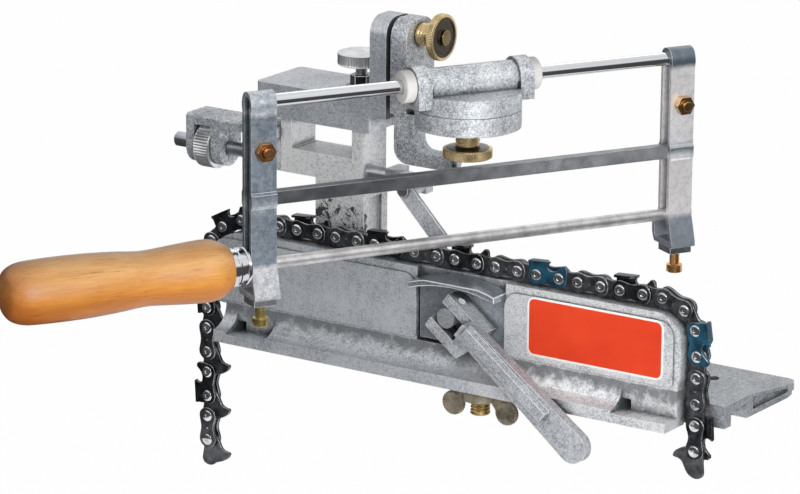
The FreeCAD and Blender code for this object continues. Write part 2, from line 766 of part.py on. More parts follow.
def build_bracket():
    x0 = swing_cheek_x
    x1 = swing_cheek_x + cheek_thick
    lug = cheek(low_disc_bottom - 3, x0, x1)
    # Arm from the lug to the lower disc
    arm = slab(outline("xy", (x1 - 3, block_front), (0, block_front), (0, disc_radius - 1),
                       (x1, block_front + cheek_deep), (x1 - 3, block_front + cheek_deep)),
               "xy", low_disc_bottom, low_disc_top)
    disc = bar(disc_radius, (0, 0, low_disc_bottom), (0, 0, low_disc_top))
    # Limb: down from the cheek, then along below the swivel knob
    a, b = limb_outer_round, limb_inner_round
    k = 1 - math.sqrt(0.5)
    left, right = limb_left_x, limb_left_x + limb_wide
    arm_top = limb_bottom + limb_arm_high
    top = low_disc_bottom - 2
    limb = slab(outline(
        "xz", (left, top), (left, limb_bottom + a),
        (left + a * k, limb_bottom + a * k, left + a, limb_bottom),
        (limb_arm_end_x, limb_bottom), (limb_arm_end_x, arm_top), (right + b, arm_top),
        (right + b * k, arm_top + b * k, right, arm_top + b), (right, top),
    ), "xz", block_front, block_front + limb_deep)
    bracket = lug.fuse([arm, disc, limb]).removeSplitter()
    bracket = bracket.cut(bar(tilt_bolt_radius + fit_play, (x0 - 1, tilt_y, tilt_z),
                              (x1 + 1, tilt_y, tilt_z)))
    bracket = bracket.cut(bar(swivel_stud_radius + fit_play, (0, 0, low_disc_bottom - 1),
                              (0, 0, low_disc_top + 1)))
    grub_y = block_front + limb_deep / 2
    grub_z = limb_bottom + limb_arm_high / 2
    bracket = bracket.cut(bar(1.8 + fit_play, (limb_arm_end_x - 5, grub_y, grub_z),
                              (limb_arm_end_x + 1, grub_y, grub_z)))
    keep("swivel_bracket", bracket)
    keep("limb_screw", bar(1.8, (limb_arm_end_x - 4.8, grub_y, grub_z),
                           (limb_arm_end_x + 1.8, grub_y, grub_z)))
    # Brass knob on the tilt bolt
    neck, r, t = tilt_knob_neck, tilt_knob_radius, tilt_knob_thick
    s = x1 + 0.2
    knob = bar(tilt_knob_neck_radius, (s, tilt_y, tilt_z), (s + neck + 0.5, tilt_y, tilt_z))
    knob = knob.fuse(prism(r, knurl_sides, neck, neck + t, (s, tilt_y, tilt_z), (1, 0, 0)))
    keep("tilt_knob", knob.cut(bar(tilt_bolt_radius + fit_play, (s - 1, tilt_y, tilt_z),
                                   (s + neck + t + 1, tilt_y, tilt_z))))


def build_housing():
    low = low_disc_top + disc_gap
    disc = bar(disc_radius, (0, 0, low), (0, 0, high_disc_top))
    reach = flange_inner + flange_thick
    tube = bar(housing_radius, (0, -reach, rod_z), (0, reach, rod_z))
    saddle = box(-housing_radius, housing_radius, -flange_inner + 1, flange_inner - 1, high_disc_top - 1,
                 rod_z)
    w = flange_half_wide
    parts = [tube, saddle]
    for y0 in (-reach, flange_inner):
        flange = outline("xz", (-w, flange_bottom), (w, flange_bottom), (w, rod_z), (0, rod_z + w, -w, rod_z))
        parts.append(slab(flange, "xz", y0, y0 + flange_thick))
    housing = disc.fuse(parts).removeSplitter()
    seat = bushing_radius - 1.6
    housing = housing.cut(bar(seat + fit_play, (0, -reach - 1, rod_z), (0, reach + 1, rod_z)))
    housing = housing.cut(bar(swivel_stud_radius + fit_play, (0, 0, low - 1), (0, 0, low + 5)))
    keep("bearing_housing", to_bow(housing))
    for name, side in (("bushing_left", -1), ("bushing_right", 1)):
        sleeve_end = side * (reach - flange_thick - 3)
        face_y = side * reach
        proud_y = side * (reach + bushing_proud)
        bushing = bar(seat, (0, sleeve_end, rod_z), (0, face_y, rod_z))
        bushing = bushing.fuse(bar(bushing_radius, (0, face_y, rod_z), (0, proud_y, rod_z)))
        bushing = bushing.cut(bar(rod_radius + bushing_play, (0, sleeve_end - side, rod_z),
                                  (0, proud_y + side, rod_z)))
        keep(name, to_bow(bushing))
    keep("swivel_stud", bar(swivel_stud_radius, (0, 0, swivel_stud_end), (0, 0, low + 4.8)))
    neck_top = low_disc_bottom - 0.2
    r, t, n = swivel_knob_radius, swivel_knob_thick, swivel_neck_radius
    knob = bar(n, (0, 0, swivel_knob_low + t - 0.5), (0, 0, neck_top))
    knob = knob.fuse(prism(r, knurl_sides, 0, t, (0, 0, swivel_knob_low), (0, 0, 1)))
    keep("swivel_knob", knob.cut(bar(swivel_stud_radius + fit_play, (0, 0, swivel_knob_low - 1),
                                     (0, 0, neck_top + 1))))


def post(middle, lean):
    """A folded strip: a loop round the guide rod, two legs, and a ring below the round file."""
    t, h, f = strip_thick, post_half, file_z
    loop = rod_radius + fit_play + t
    k = math.sqrt(0.5)
    flat = flat_file_z
    outer = slab(outline(
        "xz", (-h, rod_z - 3.4), (-loop, rod_z, -loop * k, rod_z + loop * k),
        (0, rod_z + loop, loop * k, rod_z + loop * k),
        (loop, rod_z, h, rod_z - 3.4), (h, flat + 3.2), (h + 0.7, flat + 2.2), (h + 0.7, flat - 2.2),
        (h, flat - 3.2),
        (h, f + 0.6), (ring_toe, f - ring_drop + 1.7), (ring_toe, f - ring_drop),
        (-ring_toe + 1, f - ring_drop),
        (-ring_swell, f - 0.52 * ring_drop, -h, f + 0.6), (-h, flat - 3.2), (-h - 0.7, flat - 2.2),
        (-h - 0.7, flat + 2.2), (-h, flat + 3.2),
    ), "xz", middle - post_width / 2, middle + post_width / 2)
    inner = h - t
    slot = slab(outline(
        "xz", (-inner, f - 1.2), (inner, f - 1.2), (inner, flat - 2.9), (inner, rod_z - 2.4),
        (-inner, rod_z - 2.4),
    ), "xz", middle - post_width, middle + post_width)
    ring = slab(outline(
        "xz", (-inner + 0.4, f - 1.8), (inner - 0.4, f - 1.8), (ring_toe - t, f - ring_drop + t + 0.4),
        (-ring_toe + 1 + t / 2, f - ring_drop + t + 0.4),
        (-ring_swell + t, f - 0.52 * ring_drop, -inner + 0.4, f - 1.8),
    ), "xz", middle - post_width, middle + post_width)
    shape = outer.cut([slot, ring])
    shape = shape.cut(bar(rod_radius + fit_play, (0, middle - post_width, rod_z),
                          (0, middle + post_width, rod_z)))
    shape = shape.cut(bar(file_radius + fit_play, (0, middle - post_width, f), (0, middle + post_width, f)))
    pinch = rod_z - pinch_drop
    shape = shape.cut(bar(pinch_bolt_radius + fit_play, (-h - 3, middle, pinch), (h + 3, middle, pinch)))
    screw_x = lean
    shape = shape.cut(bar(clamp_screw_radius + fit_play, (screw_x, middle, f - ring_drop - 2),
                          (screw_x, middle, f - ring_drop + t + 1)))
    return shape.removeSplitter()


def build_bow():
    lean = 0.8
    for name, middle in (("post_left", post_left_s), ("post_right", post_right_s)):
        keep(name, to_bow(post(middle, lean)))
    bolts, nuts, screws, plates = [], [], [], []
    pinch = rod_z - pinch_drop
    for middle in (post_left_s, post_right_s):
        head = -post_half
        tip = post_half + nut_high + 1.8
        bolts.append(to_bow(hex_screw((head, middle, pinch), (1, 0, 0), tip - head, nut_flats, 2.6,
                                      pinch_bolt_radius)))
        nut = hexagon(nut_flats, 0, nut_high, (post_half, middle, pinch), (1, 0, 0))
        nut = nut.cut(bar(pinch_bolt_radius + fit_play, (0, middle, pinch), (tip + 1, middle, pinch)))
        nuts.append(to_bow(nut))
        low = file_z - clamp_screw_end
        head_top = low + clamp_screw_head_high
        screw = bar(clamp_screw_radius, (lean, middle, head_top), (lean, middle, file_z - file_radius - 1.2))
        head_solid = bar(clamp_screw_head_radius, (lean, middle, low), (lean, middle, head_top))
        slot_cut = box(lean - 0.5, lean + 0.5, middle - 6, middle + 6, low - 1, low + 1.2)
        screws.append(to_bow(screw.fuse(head_solid).cut(slot_cut)))
        foot = file_z - ring_drop
        half = clamp_nut_flats / 2
        plate = box(lean - half, lean + half, middle - half, middle + half, foot - clamp_nut_high, foot)
        plates.append(to_bow(plate.cut(bar(clamp_screw_radius + fit_play, (lean, middle, foot - 9),
                                           (lean, middle, foot + 1)))))
    keep("pinch_bolts", *bolts)
    keep("pinch_nuts", *nuts)
    keep("file_clamp_screws", *screws)
    keep("file_clamp_nuts", *plates)
    reach_left = post_left_s - post_width / 2
    reach_right = post_right_s + post_width / 2
    keep("guide_rod", to_bow(bar(rod_radius, (0, reach_left + 4.6, rod_z), (0, reach_right - 0.5, rod_z))))
    w, h = flat_file_thick / 2, flat_file_high / 2
    keep("flat_file", to_bow(box(-w, w, reach_left + 1.2, reach_right - 1.2, flat_file_z - h,
                                 flat_file_z + h)))
    tang_end = handle_start_s - tang_length
    file_body = bar(file_radius, (0, handle_start_s + ferrule_length, file_z), (0, reach_right + 1.5, file_z))
    file_body = file_body.fuse(bar(tang_radius, (0, tang_end, file_z),
                                   (0, handle_start_s + ferrule_length, file_z)))
    keep("round_file", to_bow(file_body))
    spigot = ferrule_radius - ferrule_wall - fit_play
    a, b, c = handle_butt_radius, handle_waist_radius, handle_front_radius
    n = handle_length
    line = [(0, 0), (ferrule_radius + 1.2, 0), (c, 0.09 * n), (b, 0.38 * n), (a, 0.63 * n), (a, 0.89 * n),
            (0.78 * a, 0.97 * n), (0.42 * a, n), (0, n)]
    edges = [Part.LineSegment(Vector(r0, 0, d0), Vector(r1, 0, d1)).toShape()
             for (r0, d0), (r1, d1) in zip(line, line[1:] + line[:1])]
    handle = Part.Solid(Part.Face(Part.Wire(edges)).revolve(Vector(0, 0, 0), Vector(0, 0, 1), 360))
    handle.Placement = FreeCAD.Placement(Vector(0, handle_start_s, file_z),
                                         FreeCAD.Rotation(Vector(0, 0, 1), Vector(0, -1, 0)))
    handle = handle.fuse(bar(spigot, (0, handle_start_s - 2, file_z),
                             (0, handle_start_s + ferrule_length - 0.4, file_z)))
    handle = handle.cut(bar(tang_radius + fit_play, (0, tang_end - 1, file_z),
                            (0, handle_start_s + ferrule_length + 1, file_z)))
    keep("handle", to_bow(handle))
    ferrule = bar(ferrule_radius, (0, handle_start_s + 0.1, file_z),
                  (0, handle_start_s + ferrule_length, file_z))
    ferrule = ferrule.cut(bar(ferrule_radius - ferrule_wall, (0, handle_start_s - 1, file_z),
                              (0, handle_start_s + ferrule_length + 1, file_z)))
    keep("ferrule", to_bow(ferrule))


def build_clamp():
    floor = rail_front + recess_depth
    face = floor - jaw_play - jaw_thick
    # Jaw plate in the recess, with an arched visor along its top
    x0, x1 = recess_left_x + 0.5, recess_right_x - 0.5
    mid = (x0 + x1) / 2
    plate = slab(outline("xz", (x0, recess_bottom + 1), (x1, recess_bottom + 1), (x1, rail_top - 4.2),
                         (mid, rail_top - 1.0, x0, rail_top - 4.2)), "xz", face, face + jaw_thick)
    visor = slab(outline("xz", (x0, rail_top - 4.2 - visor_thick), (mid, rail_top - 1.0 - visor_thick, x1,
                                                                   rail_top - 4.2 - visor_thick),
                         (x1, rail_top - 4.2), (mid, rail_top - 1.0, x0, rail_top - 4.2)),
                 "xz", face - visor_reach, face + 0.5)
    slope = slab(outline("yz", (face - visor_reach - 1, rail_top + 2), (face, rail_top + 2),
                         (face, rail_top - 1.0),
                         (face - visor_reach - 1, rail_top - 1.0 - visor_fall)), "yz", x0 - 1, x1 + 1)
    jaw = plate.fuse(visor.cut(slope)).removeSplitter()
    jaw = jaw.cut(bar(clamp_bolt_radius + 0.3, (clamp_x, face - 9, clamp_z), (clamp_x, floor + 1, clamp_z)))
    keep("clamp_jaw", jaw)
    pin_y = face - cam_gap - cam_offset - cam_radius
    tip = pin_y - 3.5
    bolt = bar(clamp_bolt_radius, (clamp_x, tip, clamp_z), (clamp_x, rail_back + 4.6, clamp_z))
    turn = (Vector(clamp_x, 0, clamp_z), Vector(0, 1, 0), lever_angle)
    pin_half = clamp_bolt_radius + prong_play + prong_width
    hole = bar(clamp_pin_radius + fit_play, (clamp_x, pin_y, clamp_z - pin_half),
               (clamp_x, pin_y, clamp_z + pin_half))
    hole.rotate(*turn)
    keep("draw_bolt", bolt.cut(hole))
    nut = hexagon(13.0, 0, 4.2, (clamp_x, rail_back, clamp_z), (0, 1, 0))
    keep("draw_nut", nut.cut(bar(clamp_bolt_radius + fit_play, (clamp_x, rail_back - 1, clamp_z),
                                 (clamp_x, rail_back + 6, clamp_z))))
    pin = bar(clamp_pin_radius, (clamp_x, pin_y, clamp_z - pin_half), (clamp_x, pin_y, clamp_z + pin_half))
    pin.rotate(*turn)
    keep("lever_pin", pin)
    # Lever, modelled along X and turned down: a squared fork with round backs that bear on the jaw
    inner = clamp_bolt_radius + prong_play
    outer = inner + prong_width
    front_y, back_y = pin_y - fork_front, pin_y + fork_back
    prongs = []
    for low in (-outer, inner):
        cam = bar(cam_radius, (0, pin_y + cam_offset, low), (0, pin_y + cam_offset, low + prong_width))
        face_cut = box(-cam_radius - 1, cam_radius + 1, pin_y - cam_radius - 1, front_y, low - 1,
                       low + prong_width + 1)
        prongs += [cam.cut(face_cut), box(0, fork_end, front_y, back_y, low, low + prong_width),
                   box(0.2 - cam_radius, 1, front_y, pin_y, low, low + prong_width)]
    heel = slab(outline("xz", (fork_slot_end, -outer), (fork_end, -outer), (fork_heel, 0), (fork_heel, outer),
                        (fork_slot_end, outer)), "xz", front_y, back_y)
    blade_back = front_y - lever_crank + lever_thick
    blade_front = blade_back - lever_thick
    low_root, high_root = lever_offset - lever_root_half, lever_offset + lever_root_half
    root = box(fork_slot_end + 1, fork_heel, blade_front, front_y + 1, low_root, outer)
    end = lever_reach - lever_end_half
    blade = slab(outline("xz", (fork_slot_end + 1, low_root), (end, lever_offset - lever_end_half),
                         (lever_reach, lever_offset, end, lever_offset + lever_end_half),
                         (fork_heel, high_root), (fork_slot_end + 1, outer)),
                 "xz", blade_front, blade_back)
    crest = blade_front - lever_rib_rise
    rib = slab(outline("yz", (blade_front + 0.5, low_root + 0.4), (crest, low_root + 3.0),
                       (crest, high_root - 1.6), (blade_front + 0.5, high_root - 0.4)),
               "yz", lever_rib_start, lever_rib_end)
    lever = heel.fuse(prongs + [root, blade, rib]).removeSplitter()
    lever = lever.cut(bar(clamp_pin_radius + fit_play, (0, pin_y, -outer - 1), (0, pin_y, outer + 1)))
    lever.translate(Vector(clamp_x, 0, clamp_z))
    lever.rotate(*turn)
    keep("clamp_lever", lever)


def build_stud():
    keep("base_stud", bar(stud_radius, (stud_x, stud_y, stud_end),
                          (stud_x, stud_y, rail_bottom + stud_socket - 0.2)))
    top = rail_bottom - 0.3
    hub = bar(wing_hub_radius, (stud_x, stud_y, top - wing_hub_high), (stud_x, stud_y, top))
    ears = []
    for side in (-1, 1):
        x = stud_x + side * wing_ear_spread
        low = stud_y - wing_ear_thick / 2
        ear = prism(wing_ear_radius, knurl_sides // 2, 0, wing_ear_thick,
                    (x, low + wing_ear_thick, wing_ear_z))
        neck = slab(outline("xz", (stud_x + side * 5, top), (stud_x + side * 5, top - wing_hub_high),
                            (x - side * 3.5, wing_ear_z - 1), (x, wing_ear_z + 4.6),
                            (stud_x + side * 8.5, top)), "xz", low, low + wing_ear_thick)
        ears += [ear, neck]
    nut = hub.fuse(ears).removeSplitter()
    keep("wing_nut", nut.cut(bar(stud_radius + fit_play, (stud_x, stud_y, stud_end - 1),
                                 (stud_x, stud_y, top + 1))))


def build_stop():
    y0, y1 = stop_y - stop_lug_radius, stop_y + stop_lug_radius
    left, top = stop_bracket_left_x, stop_bracket_top
    bracket = box(left, frame_left_x, y0, y1, top - stop_bar_thick, top)
    bracket = soften(bracket, 1.5, lambda c, d: abs(d.x) > 0.9 and c.z > top - 1)
    legs = []
    for x, thick in ((left, stop_leg), (stop_wall_x, stop_wall)):
        legs.append(box(x, x + thick, y0, y1, stop_z, top - 1))
        legs.append(bar(stop_lug_radius, (x, stop_y, stop_z), (x + thick, stop_y, stop_z)))
    bracket = bracket.fuse(legs + [
        box(frame_left_x - 4, frame_left_x, y0 + 3.4, y1, crossbar_low, top - 1),
    ]).removeSplitter()
    bracket = bracket.cut(bar(stop_rod_radius + fit_play, (left - 1, stop_y, stop_z),
                              (frame_left_x + 1, stop_y, stop_z)))
    keep("stop_bracket", bracket)
    rod = bar(stop_rod_radius, (stop_rod_left_x, stop_y, stop_z), (arm_left_x + 4.6, stop_y, stop_z))
    keep("stop_rod", rod)
    w0 = left + stop_leg + stop_wheel_play
    w1 = stop_wall_x - stop_wheel_play
    wheel = prism(stop_wheel_radius, knurl_sides, 0, w1 - w0, (w0, stop_y, stop_z), (1, 0, 0))
    keep("stop_wheel", wheel.cut(bar(stop_rod_radius + fit_play, (w0 - 1, stop_y, stop_z),
                                     (w1 + 1, stop_y, stop_z))))
    # Arm clamped on the rod's end, reaching along to the pawl's pivot over the chain
    half = arm_high / 2
    arm = box(arm_left_x, arm_left_x + 5, stop_y - 5, stop_y + 4.6, stop_z - half - 0.9, stop_z + half + 0.9)
    arm = arm.fuse([
        box(arm_left_x, pawl_pivot_x + 3.4, stop_y - 5, stop_y - 5 + arm_wide, stop_z - half, stop_z + half),
        bar(3.3, (pawl_pivot_x, pawl_thick / 2 + 0.15, stop_z), (pawl_pivot_x, stop_y - 4, stop_z)),
    ]).removeSplitter()
    arm = arm.cut(bar(stop_rod_radius + fit_play, (arm_left_x - 1, stop_y, stop_z),
                      (arm_left_x + 6, stop_y, stop_z)))
    arm = arm.cut(bar(pawl_pin_radius + fit_play, (pawl_pivot_x, -3, stop_z), (pawl_pivot_x, 6, stop_z)))
    keep("stop_arm", arm)
    pin = bar(pawl_pin_radius, (pawl_pivot_x, -pawl_thick / 2 - 0.1, stop_z), (pawl_pivot_x, 5.8, stop_z))
    keep("pawl_pin", pin.fuse(bar(2.6, (pawl_pivot_x, -pawl_thick / 2 - 1.2, stop_z),
                                  (pawl_pivot_x, -pawl_thick / 2 - 0.1, stop_z))))
    run = Vector(pawl_tip_x - pawl_pivot_x, 0, pawl_tip_z - stop_z)
    length = run.Length
    w = pawl_width / 2
    pawl = slab(outline("xz", (0, -w), (length - 2.4, -w), (length, -w + 2.0), (length, w), (0, w),
                        (-w, 0, 0, -w)),
                "xz", -pawl_thick / 2, pawl_thick / 2)
    pawl = pawl.cut(bar(pawl_pin_radius + fit_play, (0, -2, 0), (0, 2, 0)))
    pawl.rotate(Vector(0, 0, 0), Vector(0, 1, 0), -math.degrees(math.atan2(run.z, run.x)))
    pawl.translate(Vector(pawl_pivot_x, 0, stop_z))
    keep("stop_pawl", pawl)


build_chain()
build_rail()
build_plate()
build_column()
build_carriage()
build_height()
build_bracket()
build_housing()
build_bow()
build_clamp()
build_stud()
build_stop()

os.makedirs("parts", exist_ok=True)
for name, shape in nodes.items():
    shape.translate(Vector(0, -bench_hole_y, bench_drop))
    shape.exportStep("parts/" + name + ".step")
    print(name, len(shape.Solids), "solids", round(shape.Volume), "mm3",
          "valid" if shape.isValid() else "INVALID")
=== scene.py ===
import json
import math
import bmesh
import bpy
import numpy as np
from mathutils import Matrix, Vector


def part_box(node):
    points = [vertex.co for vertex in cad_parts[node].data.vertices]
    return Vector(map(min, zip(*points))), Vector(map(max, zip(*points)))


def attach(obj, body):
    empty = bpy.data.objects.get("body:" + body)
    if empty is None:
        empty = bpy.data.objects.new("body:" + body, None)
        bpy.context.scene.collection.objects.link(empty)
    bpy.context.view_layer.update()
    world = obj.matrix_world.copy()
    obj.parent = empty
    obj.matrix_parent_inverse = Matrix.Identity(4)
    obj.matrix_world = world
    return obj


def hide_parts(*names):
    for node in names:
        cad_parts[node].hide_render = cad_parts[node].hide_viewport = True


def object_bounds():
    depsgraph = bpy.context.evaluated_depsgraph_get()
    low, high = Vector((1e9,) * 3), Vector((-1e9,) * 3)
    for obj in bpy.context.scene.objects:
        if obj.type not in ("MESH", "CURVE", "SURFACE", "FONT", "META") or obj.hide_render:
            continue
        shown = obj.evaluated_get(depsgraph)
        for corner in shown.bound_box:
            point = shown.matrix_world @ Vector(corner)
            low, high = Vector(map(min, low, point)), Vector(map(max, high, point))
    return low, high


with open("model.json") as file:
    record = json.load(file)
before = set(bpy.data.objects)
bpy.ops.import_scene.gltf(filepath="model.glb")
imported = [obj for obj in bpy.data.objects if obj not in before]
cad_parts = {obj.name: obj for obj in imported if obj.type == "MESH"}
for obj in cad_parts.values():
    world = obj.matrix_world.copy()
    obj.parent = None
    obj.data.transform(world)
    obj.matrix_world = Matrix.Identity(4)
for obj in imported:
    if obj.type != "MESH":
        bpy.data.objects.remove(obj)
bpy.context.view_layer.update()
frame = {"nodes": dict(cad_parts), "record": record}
mm = 0.001
print("frame loaded:", len(frame["nodes"]), "nodes")

# Where the working drawing's zero lies: the chain's rivet line below the swivel, in this frame
zero = np.array([0.0, -36.0, 50.0])
bow = {"angle": 60.0, "fileZ": 58.65, "rodZ": 122.15, "y": -36.0}
bowWay = np.array([math.cos(math.radians(bow["angle"])), math.sin(math.radians(bow["angle"])), 0.0])


# Shapes: each is a list of points in millimetres and a list of faces

def gridFaces(rows, columns, wrapRows=False, wrapColumns=False):
    # quads between the neighbours of a rows by columns grid of points
    r = np.arange(rows if wrapRows else rows - 1)
    c = np.arange(columns if wrapColumns else columns - 1)
    r, c = np.meshgrid(r, c, indexing="ij")
    r1, c1 = (r + 1) % rows, (c + 1) % columns
    quads = np.stack([r * columns + c, r * columns + c1, r1 * columns + c1, r1 * columns + c], -1)
    return quads.reshape(-1, 4).tolist()


def across(way):
    # two unit vectors square to a direction and to each other
    way = np.asarray(way, float) / np.linalg.norm(way)
    helper = np.array([0.0, 0.0, 1.0]) if abs(way[2]) < 0.9 else np.array([1.0, 0.0, 0.0])
    u = np.cross(helper, way)
    u /= np.linalg.norm(u)
    return way, u, np.cross(way, u)


def turned(profile, start, way, around=48, ripple=None, closed=False):
    # a lathe form: point = start + way * s + (u cos a + v sin a) * r, for each station (s, r) and angle a;
    # ripple adds to r by station and angle
    way, u, v = across(way)
    s, r = np.array(profile, float).T
    angle = np.linspace(0, 2 * math.pi, around, endpoint=False)
    radius = np.repeat(r[:, None], around, 1)
    if ripple is not None:
        radius = radius + ripple(s[:, None], angle[None, :])
    ring = u * np.cos(angle)[:, None] + v * np.sin(angle)[:, None]
    points = np.asarray(start, float) + way * s[:, None, None] + ring[None] * radius[:, :, None]
    return points.reshape(-1, 3), gridFaces(len(s), around, closed, True)


def plate(outline, low, high, edge):
    # a flat plate in X and Z: its outline on four rings across Y, drawn in by the edge at both faces
    points = np.array(outline, float)
    ahead, behind = np.roll(points, -1, 0), np.roll(points, 1, 0)
    run = ahead - behind
    inward = np.stack([-run[:, 1], run[:, 0]], 1) / np.linalg.norm(run, axis=1)[:, None]
    area = np.sum(points[:, 0] * ahead[:, 1] - ahead[:, 0] * points[:, 1])
    inward *= np.sign(area)
    rings = []
    for y, draw in ((low, edge), (low + edge, 0.0), (high - edge, 0.0), (high, edge)):
        ring = points + inward * draw
        rings.append(np.stack([ring[:, 0], np.full(len(ring), y), ring[:, 1]], 1))
    n = len(points)
    faces = gridFaces(4, n, False, True)
    faces.append(list(range(n)))
    faces.append([3 * n + i for i in range(n)])
    return np.concatenate(rings), faces


def smoothed(corners, steps):
    # a closed curve through the corners: each stretch is a cubic set by the two corners on either side
    p = np.array(corners, float)
    t = np.arange(steps)[:, None, None] / steps
    before, here, after, beyond = np.roll(p, 1, 0), p, np.roll(p, -1, 0), np.roll(p, -2, 0)
    curve = 0.5 * (2 * here + (after - before) * t + (2 * before - 5 * here + 4 * after - beyond) * t ** 2
            + (3 * here - before - 3 * after + beyond) * t ** 3)
    return curve.transpose(1, 0, 2).reshape(-1, 2)


def joined(parts):
    # several lists of points and faces as one
    points, faces, count = [], [], 0
    for partPoints, partFaces in parts:
        points.append(partPoints)
        faces += [[i + count for i in face] for face in partFaces]
        count += len(partPoints)
    return np.concatenate(points), faces


def moved(part, start, run):
    # a part drawn along X laid from a start towards a run in the X-Z plane
    points, faces = part
    c, s = np.array(run) / np.linalg.norm(run)
    x, y, z = points.T
    return np.stack([start[0] + x * c - z * s, y, start[1] + x * s + z * c], 1), faces


def linked(name, data):
    obj = bpy.data.objects.new(name, data)
    bpy.context.scene.collection.objects.link(obj)
    return obj


def finish(obj, body, paint, sharp):
    obj.data.materials.append(paint)
    obj.data.shade_smooth()
    obj.data.set_sharp_from_angle(angle=math.radians(sharp))
    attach(obj, body)


merging = {"piece": 1e-7, "node": 2e-6, "flat": 0.4}    # points in metres, faces in degrees
sharpAngle = {"piece": 35, "round": 50, "node": 32}    # degrees from which an edge stays sharp
rimTilt = (0.25, 0.9)    # a face between these shares of Y in its normal is a sloping rim


def addPiece(name, parts, body, paint, nodes=(), sharp="piece", offset=(0, 0, 0), edgePaint=None):
    # millimetres become one closed mesh in metres, faces outwards; edgePaint goes on a flat plate's
    # sloping rims
    points, faces = joined(parts)
    mesh = bpy.data.meshes.new(name)
    mesh.from_pydata(((points + np.array(offset)) * mm).tolist(), [], faces)
    form = bmesh.new()
    form.from_mesh(mesh)
    bmesh.ops.remove_doubles(form, verts=form.verts, dist=merging["piece"])
    bmesh.ops.dissolve_degenerate(form, edges=form.edges, dist=merging["piece"])
    bmesh.ops.recalc_face_normals(form, faces=form.faces)
    form.to_mesh(mesh)
    form.free()
    obj = linked(name, mesh)
    finish(obj, body, paint, sharpAngle[sharp])
    if edgePaint:
        mesh.materials.append(edgePaint)
        normals = np.empty(3 * len(mesh.polygons))
        mesh.polygons.foreach_get("normal", normals)
        tilt = np.abs(normals[1::3])
        sloping = (tilt > rimTilt[0]) & (tilt < rimTilt[1])
        mesh.polygons.foreach_set("material_index", sloping.astype(int))
    if nodes:
        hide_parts(*nodes)


def dressNode(node, paint, width, edgePaint):
    # a copy of a CAD node, its triangles merged to whole faces, its edges rounded and in their own paint,
    # which where paler is a painted highlight
    mesh = bpy.data.meshes.new(node + "Dressed")
    form = bmesh.new()
    form.from_mesh(frame["nodes"][node].data)
    bmesh.ops.remove_doubles(form, verts=form.verts, dist=merging["node"])
    bmesh.ops.dissolve_limit(form, angle_limit=math.radians(merging["flat"]), verts=form.verts,
            edges=form.edges)
    form.to_mesh(mesh)
    form.free()
    obj = linked(node + "Dressed", mesh)
    record = frame["record"]
    body = next(body for body, names in record["behaviour"]["bodies"].items() if node in names)
    finish(obj, body, paint, sharpAngle["node"])
    soft = obj.modifiers.new("softEdges", "BEVEL")
    soft.width = width * mm
    soft.segments = 2
    soft.limit_method = "ANGLE"
    soft.angle_limit = math.radians(sharpAngle["node"])
    soft.harden_normals = True
    obj.data.materials.append(edgePaint)
    soft.material = 1
    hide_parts(node)


def lieOf(node, way):
    # where a turned node starts along its way, the way itself and the node's length, in millimetres
    low, high = (np.array(corner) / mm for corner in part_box(node))
    way = np.array(way, float)
    length = abs(float(np.dot(high - low, way)))
    return (low + high) / 2 - way * length / 2, way, length


# Finishes

def addNode(tree, kind, inputs=(), **settings):
    # a shader node with its settings; each input is joined to a socket or set to a value
    made = tree.nodes.new("ShaderNode" + kind)
    for key, value in settings.items():
        setattr(made, key, value)
    for socket, value in dict(inputs).items():
        if isinstance(value, bpy.types.NodeSocket):
            tree.links.new(value, made.inputs[socket])
        else:
            made.inputs[socket].default_value = value
    return made


